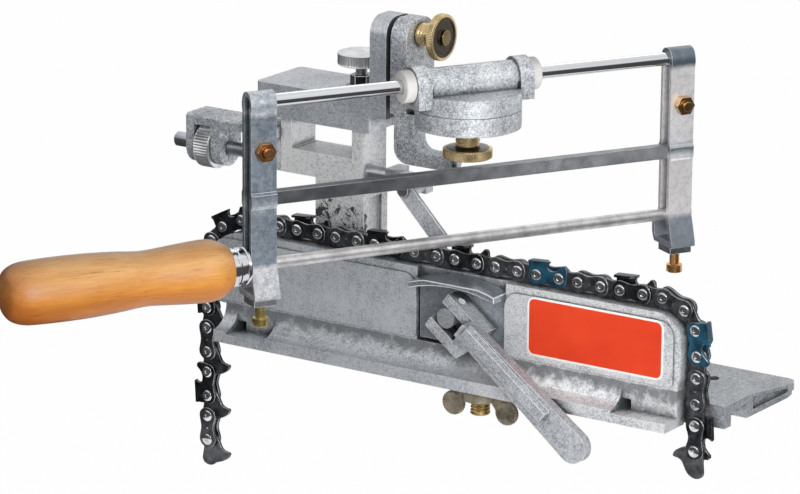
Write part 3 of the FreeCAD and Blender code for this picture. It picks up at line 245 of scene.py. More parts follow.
class Recipe:
    # a material under construction: short calls that add and join its nodes
    def __init__(self, name, **values):
        self.paint = bpy.data.materials.new(name)
        self.paint.use_nodes = True
        self.tree = self.paint.node_tree
        self.shader = self.tree.nodes["Principled BSDF"]
        for socket, value in values.items():
            self.shader.inputs[socket].default_value = value
        self.place = self.node("TexCoord").outputs["Object"]

    def node(self, kind, inputs=(), **settings):
        return addNode(self.tree, kind, inputs, **settings)

    def noise(self, scale, detail=3.0, rough=0.55, place=None):
        return self.node("TexNoise", {"Vector": place or self.place, "Scale": scale, "Detail": detail,
                "Roughness": rough}).outputs["Fac"]

    def turnedPlace(self, degrees, stretch=(1, 1, 1), point=(0, 0, 0)):
        # Object coordinates from a point, turned about Z so that X runs along the piece, then stretched
        shift = self.node("VectorMath", {0: self.place, 1: point}, operation="SUBTRACT")
        turn = self.node("VectorRotate", {"Vector": shift.outputs[0], "Angle": -math.radians(degrees)},
                rotation_type="Z_AXIS")
        return self.node("VectorMath", {0: turn.outputs[0], 1: stretch}, operation="MULTIPLY").outputs[0]

    def along(self, axis, place=None):
        return self.node("SeparateXYZ", {0: place or self.place}).outputs[axis]

    def openness(self, reach, onlyLocal=False):
        # 1 in the open, less in a corner; reach is in millimetres
        return self.node("AmbientOcclusion", {"Distance": reach * mm}, samples=8,
                only_local=onlyLocal).outputs["AO"]

    def ramp(self, value, *stops):
        made = self.node("ValToRGB", {"Fac": value})
        points = made.color_ramp.elements
        while len(points) < len(stops):
            points.new(0.5)
        for point, (at, colour) in zip(points, stops):
            point.position = at
            point.color = (*colour, 1.0)
        return made.outputs["Color"]

    def blend(self, amount, first, second, kind="MIX"):
        first, second = ((*c, 1.0) if isinstance(c, tuple) else c for c in (first, second))
        return self.node("Mix", {0: amount, 6: first, 7: second}, data_type="RGBA",
                blend_type=kind).outputs[2]

    def shaded(self, colour, *shades):
        for shade in shades:
            colour = self.blend(1.0, colour, shade, "MULTIPLY")
        return colour

    def span(self, value, low, high, fromLow=0.0, fromHigh=1.0):
        return self.node("MapRange", {"Value": value, "From Min": fromLow, "From Max": fromHigh,
                "To Min": low, "To Max": high}).outputs["Result"]

    def rise(self, value, low, high):
        # 0 up to the low value, 1 from the high one
        return self.span(value, 0.0, 1.0, low, high)

    def fall(self, value, low, high):
        return self.span(value, 1.0, 0.0, low, high)

    def sum(self, first, *others, how="ADD"):
        for other in others:
            first = self.node("Math", {0: first, 1: other}, operation=how).outputs[0]
        return first

    def product(self, first, second):
        return self.sum(first, second, how="MULTIPLY")

    def end(self, colour, rough, height, depth, strength):
        # depth is the relief in millimetres
        bump = self.node("Bump", {"Height": height, "Distance": depth * mm, "Strength": strength})
        joins = {"Base Color": colour, "Roughness": rough, "Normal": bump.outputs["Normal"]}
        for socket, value in joins.items():
            self.tree.links.new(value, self.shader.inputs[socket])
        return self.paint


white = (1, 1, 1)

# Sand-cast metal: shares of grain, dapple and clouds, where their sum turns from dark to light, and the
# openness and unevenness of the painted shade in corners and close to other parts
casting = {"dapple": 0.36, "cloud": 55.0, "shares": (0.50, 0.20, 0.30), "stops": (0.375, 0.50, 0.625),
        "gloss": (0.35, 0.65), "open": (0.46, 0.86), "uneven": 0.12}
# Painted shade: a blotchy dark band under the rail's raised panels, by height in metres, and the rail darker
# towards its left end
railPaintedShade = {"leftShadeTone": (0.71, 0.73, 0.755), "tint": (0.15, 0.155, 0.165), "foot": (0.006, 0.0145),
        "brow": (0.0156, 0.0164), "blotch": (210.0, 4.0, 0.65), "spread": (-0.3, 0.16),
        "edge": (0.40, 0.62), "most": 0.76}
# Old oil on the front of the column, by height and depth in metres
columnOil = {"tint": (0.02, 0.02, 0.022), "height": (0.058, 0.078), "front": (-0.024, -0.018),
        "blotch": (150.0, 5.0, 0.75), "spread": (-0.5, 0.04), "edge": (0.555, 0.585), "most": 0.93}


def blotchedDirtAndShade(r, colour, where, k):
    # blotches of a tint: where, 0 to 1, lifts the noise over an edge; on the rail the tint is painted shade,
    # on the column oil marks
    film = r.sum(r.noise(*k["blotch"]), r.span(where, *k["spread"]))
    return r.blend(r.span(film, 0.0, k["most"], *k["edge"]), colour, k["tint"])


def castMetal(name, tones, metal, rough=(0.36, 0.52), grain=1500.0, depth=0.06, strength=0.5, paintedCornerShade=0.0,
        reach=4.5, leftShadeTo=None, oily=False, shine=0.5):
    # tones are dark, middle and light; grime is the darkness of the painted shade in corners and close to
    # other parts, and reach its width; leftShadeTo gives the places along X over which the painted shade of
    # the rail's left end gives way, and adds the painted shade under the rail's panels; oily adds the
    # column's marks
    c = casting
    r = Recipe(name, Metallic=metal, **{"Specular IOR Level": shine})
    fine = r.noise(grain, 2.0, 0.6)
    dapple = r.noise(grain * c["dapple"], 2.0, 0.55)
    cloud = r.noise(c["cloud"], 4.0, 0.6)
    mixed = r.sum(*(r.span(part, 0.0, share) for part, share in zip((fine, dapple, cloud), c["shares"])))
    colour = r.ramp(mixed, *zip(c["stops"], tones))
    if paintedCornerShade:
        # painted shade: darker in corners and close to other parts, by ambient occlusion
        corner = r.sum(r.openness(reach), r.span(dapple, -c["uneven"], c["uneven"]))
        colour = r.shaded(colour, r.ramp(corner, (c["open"][0], (1 - paintedCornerShade,) * 3), (c["open"][1], white)))
    if leftShadeTo:
        # painted shade: the rail darker towards its left end, and a blotchy dark band under its raised panels
        k, height = railPaintedShade, r.along("Z")
        paintedLeftShade = r.ramp(r.rise(r.along("X"), *leftShadeTo), (0.0, k["leftShadeTone"]), (1.0, white))
        band = r.product(r.rise(height, *k["foot"]), r.fall(height, *k["brow"]))
        colour = blotchedDirtAndShade(r, r.shaded(colour, paintedLeftShade), band, k)
    if oily:
        k = columnOil
        near = r.product(r.fall(r.along("Z"), *k["height"]), r.fall(r.along("Y"), *k["front"]))
        colour = blotchedDirtAndShade(r, colour, near, k)
    return r.end(colour, r.span(mixed, rough[1], rough[0], *c["gloss"]), mixed, depth, strength)


def platedSteel(name, dark, light, metal=0.95):
    # zinc: soft cloudy streaks with a fine drawn grain along the piece
    r = Recipe(name, Metallic=metal)
    streak = r.noise(1.0, 3.0, 0.6, r.turnedPlace(0.0, (40, 420, 420)))
    cloud = r.noise(90.0, 4.0, 0.6)
    colour = r.ramp(r.sum(r.span(streak, 0, 0.5), r.span(cloud, 0, 0.5)), (0.38, dark), (0.62, light))
    return r.end(colour, r.span(cloud, 0.22, 0.40), streak, 0.03, 0.3)


# A post's strip: the heights its tones of painted light and shade run between, how much its folds waver,
# the tints of its dapples, and the painted shade between its folds
strip = {"heights": (0.044, 0.128), "waver": 0.0016, "dimTint": (1.18, 1.21, 1.24),
        "tint": (1.18, 1.18, 1.18), "paleTint": (1.18, 1.15, 1.12), "reach": 7.0,
        "foldShade": (0.12, 0.12, 0.13), "open": (0.25, 0.75)}


def foldedZinc(name, tones, pale, dim):
    # bluish zinc with small dapples; each tone is a share of the height and a colour, painted light and shade
    # on the strip's folds
    k = strip
    r = Recipe(name, Metallic=0.55)
    grain = r.noise(1300.0, 3.0, 0.65)
    dapple = r.noise(430.0, 2.0, 0.5)
    cloud = r.noise(85.0, 3.0, 0.55)
    uneven = r.sum(r.along("Z"), r.span(cloud, -k["waver"], k["waver"]))
    # painted light and shade by height: lighter and darker bands on the folds
    shade = r.ramp(r.rise(uneven, *k["heights"]), *tones)
    spots = r.ramp(r.sum(r.span(grain, 0.0, 0.5), r.span(dapple, 0.0, 0.5)),
            (0.40, tuple(c * dim for c in k["dimTint"])), (0.50, k["tint"]),
            (0.62, tuple(c * pale for c in k["paleTint"])))
    # painted shade in the hollows between the folds, by ambient occlusion
    foldShade = r.ramp(r.openness(k["reach"], True), (k["open"][0], k["foldShade"]), (k["open"][1], white))
    return r.end(r.shaded(shade, spots, foldShade), r.span(cloud, 0.26, 0.42), grain, 0.03, 0.35)


def polishedRod():
    # steel with hairlines drawn along the rod
    r = Recipe("polishedRod", Metallic=1.0)
    streak = r.noise(1.0, 2.0, 0.5, r.turnedPlace(bow["angle"], (8, 900, 900)))
    colour = r.ramp(streak, (0.3, (0.60, 0.61, 0.63)), (0.7, (0.74, 0.75, 0.77)))
    return r.end(colour, r.span(streak, 0.07, 0.15), streak, 0.01, 0.15)


# The flat file's face: its cuts, its steel, and the painted light along it, darker at one end and lighter at
# the other
fileCuts = {"pitch": 0.9, "slant": 0.9, "dark": (0.075, 0.08, 0.086), "light": (0.25, 0.26, 0.27),
        "shadedEnd": (0.55, 0.55, 0.57), "litEnd": (1.9, 1.9, 1.9), "halfLength": 0.09}


def fileSteel():
    # two sets of slanting cuts: height = sum of sin(2 pi (x + or - slant (y + z)) / pitch)
    k = fileCuts
    r = Recipe("fileSteel", Metallic=0.6)
    parts = r.node("SeparateXYZ", {0: r.turnedPlace(bow["angle"], point=(0, bow["y"] * mm, 0))}).outputs
    slope = r.sum(parts["Y"], parts["Z"])
    waves = []
    for slant in (k["slant"], -k["slant"]):
        line = r.sum(parts["X"], r.product(slope, slant))
        turns = r.product(line, 2 * math.pi / (k["pitch"] * mm))
        waves.append(r.node("Math", {0: turns}, operation="SINE").outputs[0])
    height = r.sum(*waves)
    cloud = r.noise(160.0)
    cuts = r.ramp(r.sum(r.span(height, 0.0, 0.4, -2, 2), r.span(cloud, 0, 0.6)),
            (0.3, k["dark"]), (0.75, k["light"]))
    # painted light: darker towards one end of the file, lighter towards the other
    fade = r.ramp(r.rise(parts["X"], -k["halfLength"], k["halfLength"]), (0.30, k["shadedEnd"]),
            (0.72, k["litEnd"]))
    return r.end(r.shaded(cuts, fade), r.span(cloud, 0.34, 0.48), height, 0.05, 0.45)


def turnedMetal(name, dark, light, rough=(0.20, 0.34), metal=1.0, stain=0.0, rightSide=None):
    # slow tarnish; stain adds fine dark spots, and rightSide tints the copies on the fixture's right
    r = Recipe(name, Metallic=metal)
    cloud = r.noise(170.0, 4.0, 0.6)
    fine = r.noise(1500.0, 2.0, 0.5)
    stops = (0.34, 0.60)
    colour = r.ramp(cloud, *zip(stops, (dark, light)))
    if rightSide:
        side = r.rise(r.along("X"), -0.01, 0.01)
        colour = r.blend(side, colour, r.ramp(cloud, *zip(stops, rightSide)))
    if stain:
        colour = r.blend(r.span(fine, 0.0, stain), colour, tuple(0.35 * c for c in dark))
    return r.end(colour, r.span(cloud, rough[1], rough[0]), fine, 0.02, 0.25 + stain)


# Turned brass whose flat face has gone brown: how far short of it the brown begins, and its border
tarnish = {"golden": ((0.48, 0.345, 0.155), (0.78, 0.62, 0.36)), "brown": ((0.015, 0.011, 0.007),
        (0.060, 0.045, 0.026)), "short": (0.55, 0.45), "border": 0.3}


def knobBrass(name, axis, faceAt, towards, centre, radius):
    # brown where the place along the axis is past faceAt and its distance from the axis within the radius
    k = tarnish
    r = Recipe(name, Metallic=0.8)
    cloud = r.noise(170.0, 4.0, 0.6)
    fine = r.noise(1700.0, 2.0, 0.6)
    golden = r.ramp(cloud, *zip((0.34, 0.62), k["golden"]))
    brown = r.ramp(fine, *zip((0.36, 0.60), k["brown"]))
    centre = tuple(c * mm for c in centre)
    square = tuple(0.0 if i == axis else 1.0 for i in range(3))
    shift = r.node("VectorMath", {0: r.place, 1: centre}, operation="SUBTRACT").outputs[0]
    flat = r.node("VectorMath", {0: shift, 1: square}, operation="MULTIPLY").outputs[0]
    away = r.node("VectorMath", {0: flat}, operation="LENGTH").outputs["Value"]
    past = r.rise(r.along(axis), *((faceAt - short * towards) * mm for short in k["short"]))
    within = r.fall(away, (radius - k["border"]) * mm, radius * mm)
    colour = r.blend(r.product(past, within), golden, brown)
    return r.end(colour, r.span(cloud, 0.34, 0.20), fine, 0.02, 0.3)


# Beech under orange lacquer: stretches along and across the grain, and the tones of wood, flecks, butt
# and, from below to above, the painted light and shade on its sides
beech = {"flecks": (90, 1300, 1300), "bands": (11, 120, 120), "cloud": (55.0, 2.0, 0.5),
        "tones": ((0.34, (0.50, 0.23, 0.07)), (0.50, (0.66, 0.345, 0.125)), (0.64, (0.78, 0.47, 0.21))),
        "fleckTones": ((0.28, (0.70, 0.48, 0.30)), (0.38, white)), "fleckShare": 0.8,
        "butt": (-0.194, -0.170), "buttTones": ((0.0, (0.72, 0.55, 0.42)), (0.8, white)), "halfHeight": 12.0,
        "heightLightTones": ((0.10, (0.74, 0.42, 0.14)), (0.45, (0.93, 0.70, 0.26)), (0.82, white))}


def lacqueredWood():
    # flecks and slow bands along the grain, darker round the butt, and painted light: darker below, paler
    # above
    k = beech
    r = Recipe("lacqueredWood", **{"Coat Weight": 0.4, "Coat Roughness": 0.25, "Specular IOR Level": 0.35})
    point = (0, bow["y"] * mm, bow["fileZ"] * mm)
    flecks = r.noise(1.0, 4.0, 0.65, r.turnedPlace(bow["angle"], k["flecks"], point))
    bands = r.noise(1.0, 3.0, 0.55, r.turnedPlace(bow["angle"], k["bands"], point))
    cloud = r.noise(*k["cloud"])
    tone = r.ramp(r.sum(r.span(bands, 0, 0.5), r.span(cloud, 0, 0.2), r.span(flecks, 0, 0.3)), *k["tones"])
    along = r.along("X", r.turnedPlace(bow["angle"], point=point))
    butt = r.ramp(r.rise(along, *k["butt"]), *k["buttTones"])
    sides = ((bow["fileZ"] + side * k["halfHeight"]) * mm for side in (-1, 1))
    # painted light: the handle paler above and darker below
    paintedTopLight = r.ramp(r.rise(r.along("Z"), *sides), *k["heightLightTones"])
    colour = r.blend(k["fleckShare"], tone, r.ramp(flecks, *k["fleckTones"]), "MULTIPLY")
    return r.end(r.shaded(colour, butt, paintedTopLight), r.span(bands, 0.40, 0.55), flecks, 0.03, 0.2)


def mottled(name, dark, light, rough, cloud, fine, stops, depth, strength, **values):
    # an even finish: slow clouds set its colour and gloss, and fine grain its relief
    r = Recipe(name, **values)
    cloud, fine = r.noise(*cloud), r.noise(*fine)
    return r.end(r.ramp(cloud, *zip(stops, (dark, light))), r.span(cloud, *rough), fine, depth, strength)


oiled = {"cloud": (260.0, 4.0, 0.6), "fine": (1400.0, 2.0, 0.5), "stops": (0.35, 0.68), "depth": 0.03,
        "strength": 0.4}
moulded = {"cloud": (120.0, 2.0), "fine": (1600.0, 2.0), "stops": (0.3, 0.7), "depth": 0.02, "strength": 0.25}
foil = {"cloud": (60.0, 3.0), "fine": (900.0, 2.0), "stops": (0.3, 0.7), "depth": 0.02, "strength": 0.2,
        "rough": (0.42, 0.52), "Coat Weight": 0.1, "Coat Roughness": 0.3, "Specular IOR Level": 0.3}

# painted light and shade by height on each post's strip: the left post a shaded copy, the right post a lit
# copy
postLightAndShade = {
    "left": ((0.0, (0.46, 0.47, 0.50)), (0.17, (0.52, 0.53, 0.56)), (0.19, (0.19, 0.22, 0.26)),
        (0.40, (0.22, 0.255, 0.30)), (0.46, (0.36, 0.40, 0.44)), (0.50, (0.15, 0.175, 0.21)),
        (0.56, (0.19, 0.225, 0.265)), (0.86, (0.21, 0.245, 0.285)), (0.885, (0.55, 0.58, 0.61)),
        (0.92, (0.30, 0.335, 0.375)), (0.99, (0.44, 0.47, 0.50))),
    "right": ((0.0, (0.28, 0.31, 0.36)), (0.16, (0.32, 0.35, 0.40)), (0.19, (0.82, 0.79, 0.81)),
        (0.42, (0.84, 0.82, 0.83)), (0.47, (0.78, 0.78, 0.80)), (0.50, (0.16, 0.20, 0.22)),
        (0.54, (0.80, 0.79, 0.81)), (0.84, (0.80, 0.79, 0.80)), (0.88, (0.78, 0.80, 0.82)),
        (0.91, (0.10, 0.125, 0.15)), (0.99, (0.16, 0.19, 0.22))),
}

finishes = {
    "cast": castMetal("castAluminium", ((0.17, 0.187, 0.215), (0.54, 0.57, 0.61), (0.92, 0.93, 0.94)), 0.45,
        paintedCornerShade=0.88),
    "flatCast": castMetal("flatCasting", ((0.32, 0.345, 0.38), (0.56, 0.59, 0.635), (0.78, 0.805, 0.84)), 0.5,
        (0.28, 0.42), 1700, 0.04, 0.4, 0.85, 8.0),
    "railCast": castMetal("railCasting", ((0.40, 0.415, 0.43), (0.79, 0.81, 0.835), (0.97, 0.97, 0.97)), 0.4,
        (0.34, 0.48), depth=0.05, paintedCornerShade=0.88, reach=8.0, leftShadeTo=(0.004, 0.034)),
    "plateCast": castMetal("plateCasting", ((0.22, 0.24, 0.265), (0.41, 0.43, 0.46), (0.62, 0.64, 0.67)), 0.4,
        (0.34, 0.48), depth=0.05, paintedCornerShade=0.85, reach=6.0),
    # painted light: a paler copy of the cast metal for a column that stands in shade under the parts above
    "paleCast": castMetal("columnCasting", ((0.44, 0.455, 0.48), (0.78, 0.79, 0.80), (0.90, 0.90, 0.90)), 0.3,
        (0.34, 0.48), 1300, paintedCornerShade=0.9, oily=True),
    # painted highlight along the softened edges of castings
    "castEdgeHighlight": castMetal("castEdgeHighlights", ((0.74, 0.75, 0.77), (0.88, 0.89, 0.90), (0.96, 0.96, 0.97)),
        0.35, (0.26, 0.38), 900),
    "smoothCast": castMetal("machinedCasting", ((0.36, 0.38, 0.40), (0.54, 0.56, 0.58), (0.72, 0.74, 0.76)),
        0.7, (0.30, 0.42), depth=0.03),
    "turned": turnedMetal("turnedAluminium", (0.56, 0.57, 0.59), (0.80, 0.81, 0.82), (0.22, 0.36), 0.85),
    "zinc": platedSteel("platedSteel", (0.28, 0.30, 0.33), (0.56, 0.58, 0.61)),
    # painted highlight along the softened edges of plated pieces
    "zincEdgeHighlight": platedSteel("zincEdgeHighlights", (0.66, 0.68, 0.71), (0.88, 0.89, 0.91), 0.5),
    "leftPost": foldedZinc("leftPostZinc", postLightAndShade["left"], 1.35, 0.74),
    "rightPost": foldedZinc("rightPostZinc", postLightAndShade["right"], 1.16, 0.84),
    "rod": polishedRod(),
    "flatFile": fileSteel(),
    "roundFile": turnedMetal("roundFileSteel", (0.42, 0.41, 0.41), (0.66, 0.65, 0.65), (0.30, 0.45), 0.8),
    "brass": turnedMetal("turnedBrass", (0.34, 0.235, 0.085), (0.64, 0.47, 0.20)),
    "darkBrass": turnedMetal("darkBrass", (0.05, 0.038, 0.018), (0.20, 0.150, 0.070), (0.2, 0.34)),
    "yellow": turnedMetal("yellowSteel", (0.30, 0.125, 0.045), (0.66, 0.34, 0.15), (0.18, 0.32),
        rightSide=((0.26, 0.145, 0.055), (0.58, 0.38, 0.18))),
    "clampScrews": turnedMetal("yellowClampScrews", (0.38, 0.285, 0.075), (0.80, 0.66, 0.28), (0.16, 0.28),
        0.9, rightSide=((0.42, 0.185, 0.060), (0.82, 0.48, 0.20))),
    "wing": turnedMetal("rubbedBrass", (0.13, 0.11, 0.07), (0.50, 0.44, 0.34), (0.42, 0.60), 0.6, 0.75),
    "plastic": mottled("mouldedPlastic", (0.69, 0.67, 0.655), (0.75, 0.73, 0.715), (0.34, 0.46), **moulded),
    "wood": lacqueredWood(),
    "rivet": turnedMetal("rivetSteel", (0.42, 0.43, 0.45), (0.80, 0.81, 0.83), (0.10, 0.22)),
    "lever": castMetal("leverSteel", ((0.20, 0.212, 0.235), (0.385, 0.405, 0.435), (0.58, 0.60, 0.63)), 0.15,
        (0.46, 0.60), depth=0.05, paintedCornerShade=0.92, reach=7.0, shine=0.2),
    # painted highlight along the lever's softened edges, also put on the whole lever pin
    "leverHighlight": castMetal("leverHighlights", ((0.84, 0.85, 0.86), (0.92, 0.93, 0.94), (0.98, 0.98, 0.98)),
        0.3, (0.24, 0.34), 900),
    "jaw": castMetal("jawSteel", ((0.28, 0.31, 0.35), (0.44, 0.48, 0.53), (0.62, 0.66, 0.70)), 0.8,
        (0.28, 0.40), depth=0.03),
    "red": mottled("redEnamel", (0.66, 0.040, 0.008), (0.76, 0.056, 0.012), **foil),
    "white": mottled("whiteEnamel", (0.78, 0.77, 0.74), (0.86, 0.85, 0.83), **foil),
}
# Oiled steel: metallic share, dark, light and gloss
for key, name, metal, dark, light, rough in (
        # painted highlight along the flat file's softened edges
        ("fileEdgeHighlight", "fileEdgeHighlights", 0.85, (0.20, 0.21, 0.22), (0.36, 0.37, 0.38), (0.3, 0.4)),
        ("chain", "oiledLinks", 0.7, (0.032, 0.033, 0.037), (0.135, 0.139, 0.150), (0.24, 0.40)),
        ("blackened", "blackenedSteel", 0.85, (0.012, 0.012, 0.013), (0.06, 0.061, 0.065), (0.16, 0.30)),
        ("cutter", "cutterSteel", 0.85, (0.016, 0.018, 0.021), (0.085, 0.09, 0.10), (0.18, 0.34)),
        # painted highlight on the chain links' sloping rims
        ("linkEdgeHighlight", "linkEdgeHighlights", 0.7, (0.10, 0.102, 0.108), (0.46, 0.465, 0.48), (0.20, 0.34)),
        ("marked", "blueMarkedSteel", 0.3, (0.006, 0.030, 0.055), (0.018, 0.105, 0.175), (0.26, 0.40))):
    finishes[key] = mottled(name, dark, light, rough, Metallic=metal, **oiled)
print("finishes ready:", len(finishes))

# Castings and plain steel pieces: the frame's own forms, each with the width of its softened edges; each
# row's second paint, where paler, is a painted highlight along those edges
dressed = {
    ("cast", "castEdgeHighlight"): (("stop_bracket", 0.8),),
    ("cast", "cast"): (("bearing_housing", 0.5), ("swivel_bracket", 0.9)),
    ("flatCast", "castEdgeHighlight"): (("carriage", 0.9),),
    ("railCast", "castEdgeHighlight"): (("rail_body", 0.8),),
    ("plateCast", "castEdgeHighlight"): (("bench_plate", 0.6),),
    ("paleCast", "castEdgeHighlight"): (("column", 0.7),),
    ("smoothCast", "castEdgeHighlight"): (("stop_arm", 0.3), ("draw_bolt", 0.4)),
    ("lever", "leverHighlight"): (("clamp_lever", 0.45), ("stop_pawl", 0.2)),
    ("jaw", "zincEdgeHighlight"): (("clamp_jaw", 0.4),),
    ("leftPost", "zincEdgeHighlight"): (("post_left", 0.25),),
    ("rightPost", "zincEdgeHighlight"): (("post_right", 0.25),),
    ("zinc", "zincEdgeHighlight"): (("plate_screws", 0.2), ("column_screws", 0.3), ("draw_nut", 0.3),
        ("tilt_washer", 0.2), ("limb_screw", 0.2), ("swivel_stud", 0.2),
        ("pawl_pin", 0.2), ("file_clamp_nuts", 0.25)),
    # the lever pin is painted whole in the pale highlight paint: painted light on a pin that lies in shade
    ("leverHighlight", "leverHighlight"): (("lever_pin", 0.2),),
    ("blackened", "zincEdgeHighlight"): (("lock_washer", 0.2), ("lock_nut", 0.4)),
    ("yellow", "yellow"): (("pinch_bolts", 0.35), ("pinch_nuts", 0.3)),
    ("darkBrass", "brass"): (("tilt_bolt", 0.3),),
    ("clampScrews", "clampScrews"): (("file_clamp_screws", 0.3),),
    ("flatFile", "fileEdgeHighlight"): (("flat_file", 0.25),),
}
for (paint, edgePaint), rows in dressed.items():
    for node, width in rows:
        dressNode(node, finishes[paint], width, finishes[edgePaint])
print("castings and steel pieces dressed")


# Knurled knobs in turned aluminium; with no bore depth the bore goes right through

def knurl(count, depth, low, high):
    # straight flutes between two stations: a rounded tooth wave of that count and depth
    def ripple(s, angle):
        inside = np.clip(np.minimum(s - low, high - s) / 0.25, 0, 1)
        return -depth * inside * (0.5 + 0.5 * np.cos(count * angle))
    return ripple


def rounded(station, radius, edge, steps):
    # a rim's quarter round that ends at a station
    turn = np.linspace(0, math.pi / 2, steps)
    return [(station - edge * (1 - math.sin(t)), radius - edge * (1 - math.cos(t))) for t in turn]


def knobProfile(height, radius, edge, bore, boreDepth):
    # a disc with rounded rims, a line round its face, and a bore
    rim, top = [(-s, r) for s, r in rounded(0.0, radius, edge, 5)[::-1]], rounded(height, radius, edge, 5)
    foot, face = [(boreDepth, 0.0), (boreDepth, bore)], [(height, radius * 0.66), (height, 0.0)]
    if not boreDepth:
        foot, face = [(height, bore)], [(height, bore)]
    side = [(s, radius) for s in np.linspace(edge + 0.1, height - edge - 0.1, 6)]
    return foot + [(0.0, bore)] + rim + side + top + [(height, radius * 0.72)] + face


knobs = {
    "heightKnob": {"node": "height_knob", "body": "height_screw", "way": (0, 0, 1), "radius": 9.6,
        "edge": 0.5, "teeth": 54, "bore": 2.6, "boreDepth": 2.2},
    "stopWheel": {"node": "stop_wheel", "body": "stop_wheel", "way": (1, 0, 0), "radius": 9.3,
        "edge": 0.4, "teeth": 48, "bore": 3.05, "boreDepth": None},
}
flute = {"depth": 0.45, "plain": 0.3, "steps": 6}    # plain is the smooth rim beside the flutes
for name, knob in knobs.items():
    start, way, height = lieOf(knob["node"], knob["way"])
    rows = knobProfile(height, knob["radius"], knob["edge"], knob["bore"], knob["boreDepth"])
    ripple = knurl(knob["teeth"], flute["depth"], flute["plain"], height - flute["plain"])
    part = turned(rows, start, way, knob["teeth"] * flute["steps"], ripple, not knob["boreDepth"])
    addPiece(name, [part], knob["body"], finishes["turned"], [knob["node"]])

# Brass knobs: a grooved neck and a knurled disc; dark is 1 for a browned outer face, -1 for an inner one
brassKnob = {"bore": 3.05, "teeth": 90, "depth": 0.18, "edge": 0.5, "plain": 0.3, "steps": 4, "rim": 1.1}
brassSizes = {
    "tiltKnob": {"node": "tilt_knob", "way": (1, 0, 0), "radius": 9.34, "disc": 3.0, "neck": 4.6, "dark": 1},
    "swivelKnob": {"node": "swivel_knob", "way": (0, 0, -1), "radius": 9.7, "disc": 3.8, "neck": 4.8,
        "dark": -1},
}


def brassProfile(neckLength, k):
    # stations from the neck's free end to the disc's face
    a, b, r, e, neck = neckLength, neckLength + k["disc"], k["radius"], k["edge"], k["neck"]
    rows = [(0.0, k["bore"]), (0.0, neck - 0.3), (0.3, neck)]
    for s in np.arange(1.2, a - 1.2, 1.5):
        rows += [(s, neck), (s + 0.3, neck - 0.25), (s + 0.6, neck - 0.25), (s + 0.9, neck)]
    rows += [(a - 0.4, neck), (a, neck + 0.5), (a, r - e), (a + e * 0.3, r - e * 0.3), (a + e, r)]
    rows += [(s, r) for s in np.linspace(a + e + 0.1, b - e - 0.1, 5)]
    rows += [(b - e, r), (b - e * 0.3, r - e * 0.3), (b, r - e), (b, r * 0.78), (b - 0.35, r * 0.74),
            (b - 0.35, r * 0.42), (b, r * 0.38), (b, k["bore"])]
    return rows


for name, sizes in brassSizes.items():
    k = dict(brassKnob, **sizes)
    start, way, length = lieOf(k["node"], k["way"])
    neckLength = length - k["disc"]
    axis = int(np.argmax(np.abs(way)))
    station = length if k["dark"] > 0 else neckLength - 0.5
    paint = knobBrass(name + "Brass", axis, float((start + way * station)[axis]), k["dark"], start,
            k["radius"] - k["rim"])
    ripple = knurl(k["teeth"], k["depth"], neckLength + k["plain"], length - k["plain"])
    part = turned(brassProfile(neckLength, k), start, way, k["teeth"] * k["steps"], ripple, True)
    addPiece(name, [part], k["node"], paint, [k["node"]])
print("knobs turned")


# Rods, files and threads

def thread(pitch, depth, low, high):
    # a screw thread between two stations: a ramped tooth wave that climbs one pitch a turn
    def ripple(s, angle):
        phase = (s / pitch - angle / (2 * math.pi)) % 1.0
        inside = np.clip(np.minimum(s - low, high - s) / pitch, 0, 1)
        return -depth * inside * np.abs(2 * phase - 1)
    return ripple


def rodProfile(length, radius, chamfer=0.4, step=None):
    rows = [(0.0, 0.0), (0.0, radius - chamfer), (chamfer, radius)]
    if step:
        rows += [(s, radius) for s in np.arange(chamfer + step, length - chamfer - step / 2, step)]
    return rows + [(length - chamfer, radius), (length, radius - chamfer), (length, 0.0)]


rods = {"guideRadius": 2.7, "fileRadius": 2.4, "tangRadius": 1.7, "guide": (-89.25, 97.85),
        "file": (-94.4, 99.85), "tang": -147.0, "cutPitch": 1.0, "cutDepth": 0.06, "cutStarts": 3,
        "cutStep": 0.25, "plainEnd": 1.0}


def onBow(station, height):
    # a point on the guide rod's or the round file's axis
    return bowWay * station + [0, bow["y"], bow[height]]


start, end = rods["guide"]
rod = turned(rodProfile(end - start, rods["guideRadius"]), onBow(start, "rodZ"), bowWay, 40)
addPiece("guideRod", [rod], "bow_slider", finishes["rod"], ["guide_rod"])


def spiralCut(k, low, high):
    # the round file's teeth: rounded grooves that wind round it together, between two stations
    def ripple(s, angle):
        wave = 0.5 + 0.5 * np.cos(2 * math.pi * s / k["cutPitch"] + k["cutStarts"] * angle)
        return np.where((s > low) & (s < high), -k["cutDepth"] * wave, 0.0)
    return ripple


start, end = rods["file"]
cutEnd, tangEnd, radius = end - start, rods["tang"] - start, rods["fileRadius"]
fileRows = [(tangEnd, 0.0), (tangEnd, 0.9), (tangEnd + 2, rods["tangRadius"]), (-1.0, rods["tangRadius"]),
        (0.0, radius)]
fileRows += [(s, radius) for s in np.arange(rods["cutStep"], cutEnd - rods["plainEnd"], rods["cutStep"])]
fileRows += [(cutEnd - 0.8, radius), (cutEnd, radius - 0.5), (cutEnd, 0.0)]
cuts = spiralCut(rods, rods["plainEnd"], cutEnd - rods["plainEnd"])
addPiece("roundFile", [turned(fileRows, onBow(start, "fileZ"), bowWay, 24, cuts)], "bow",
        finishes["roundFile"], ["round_file"])

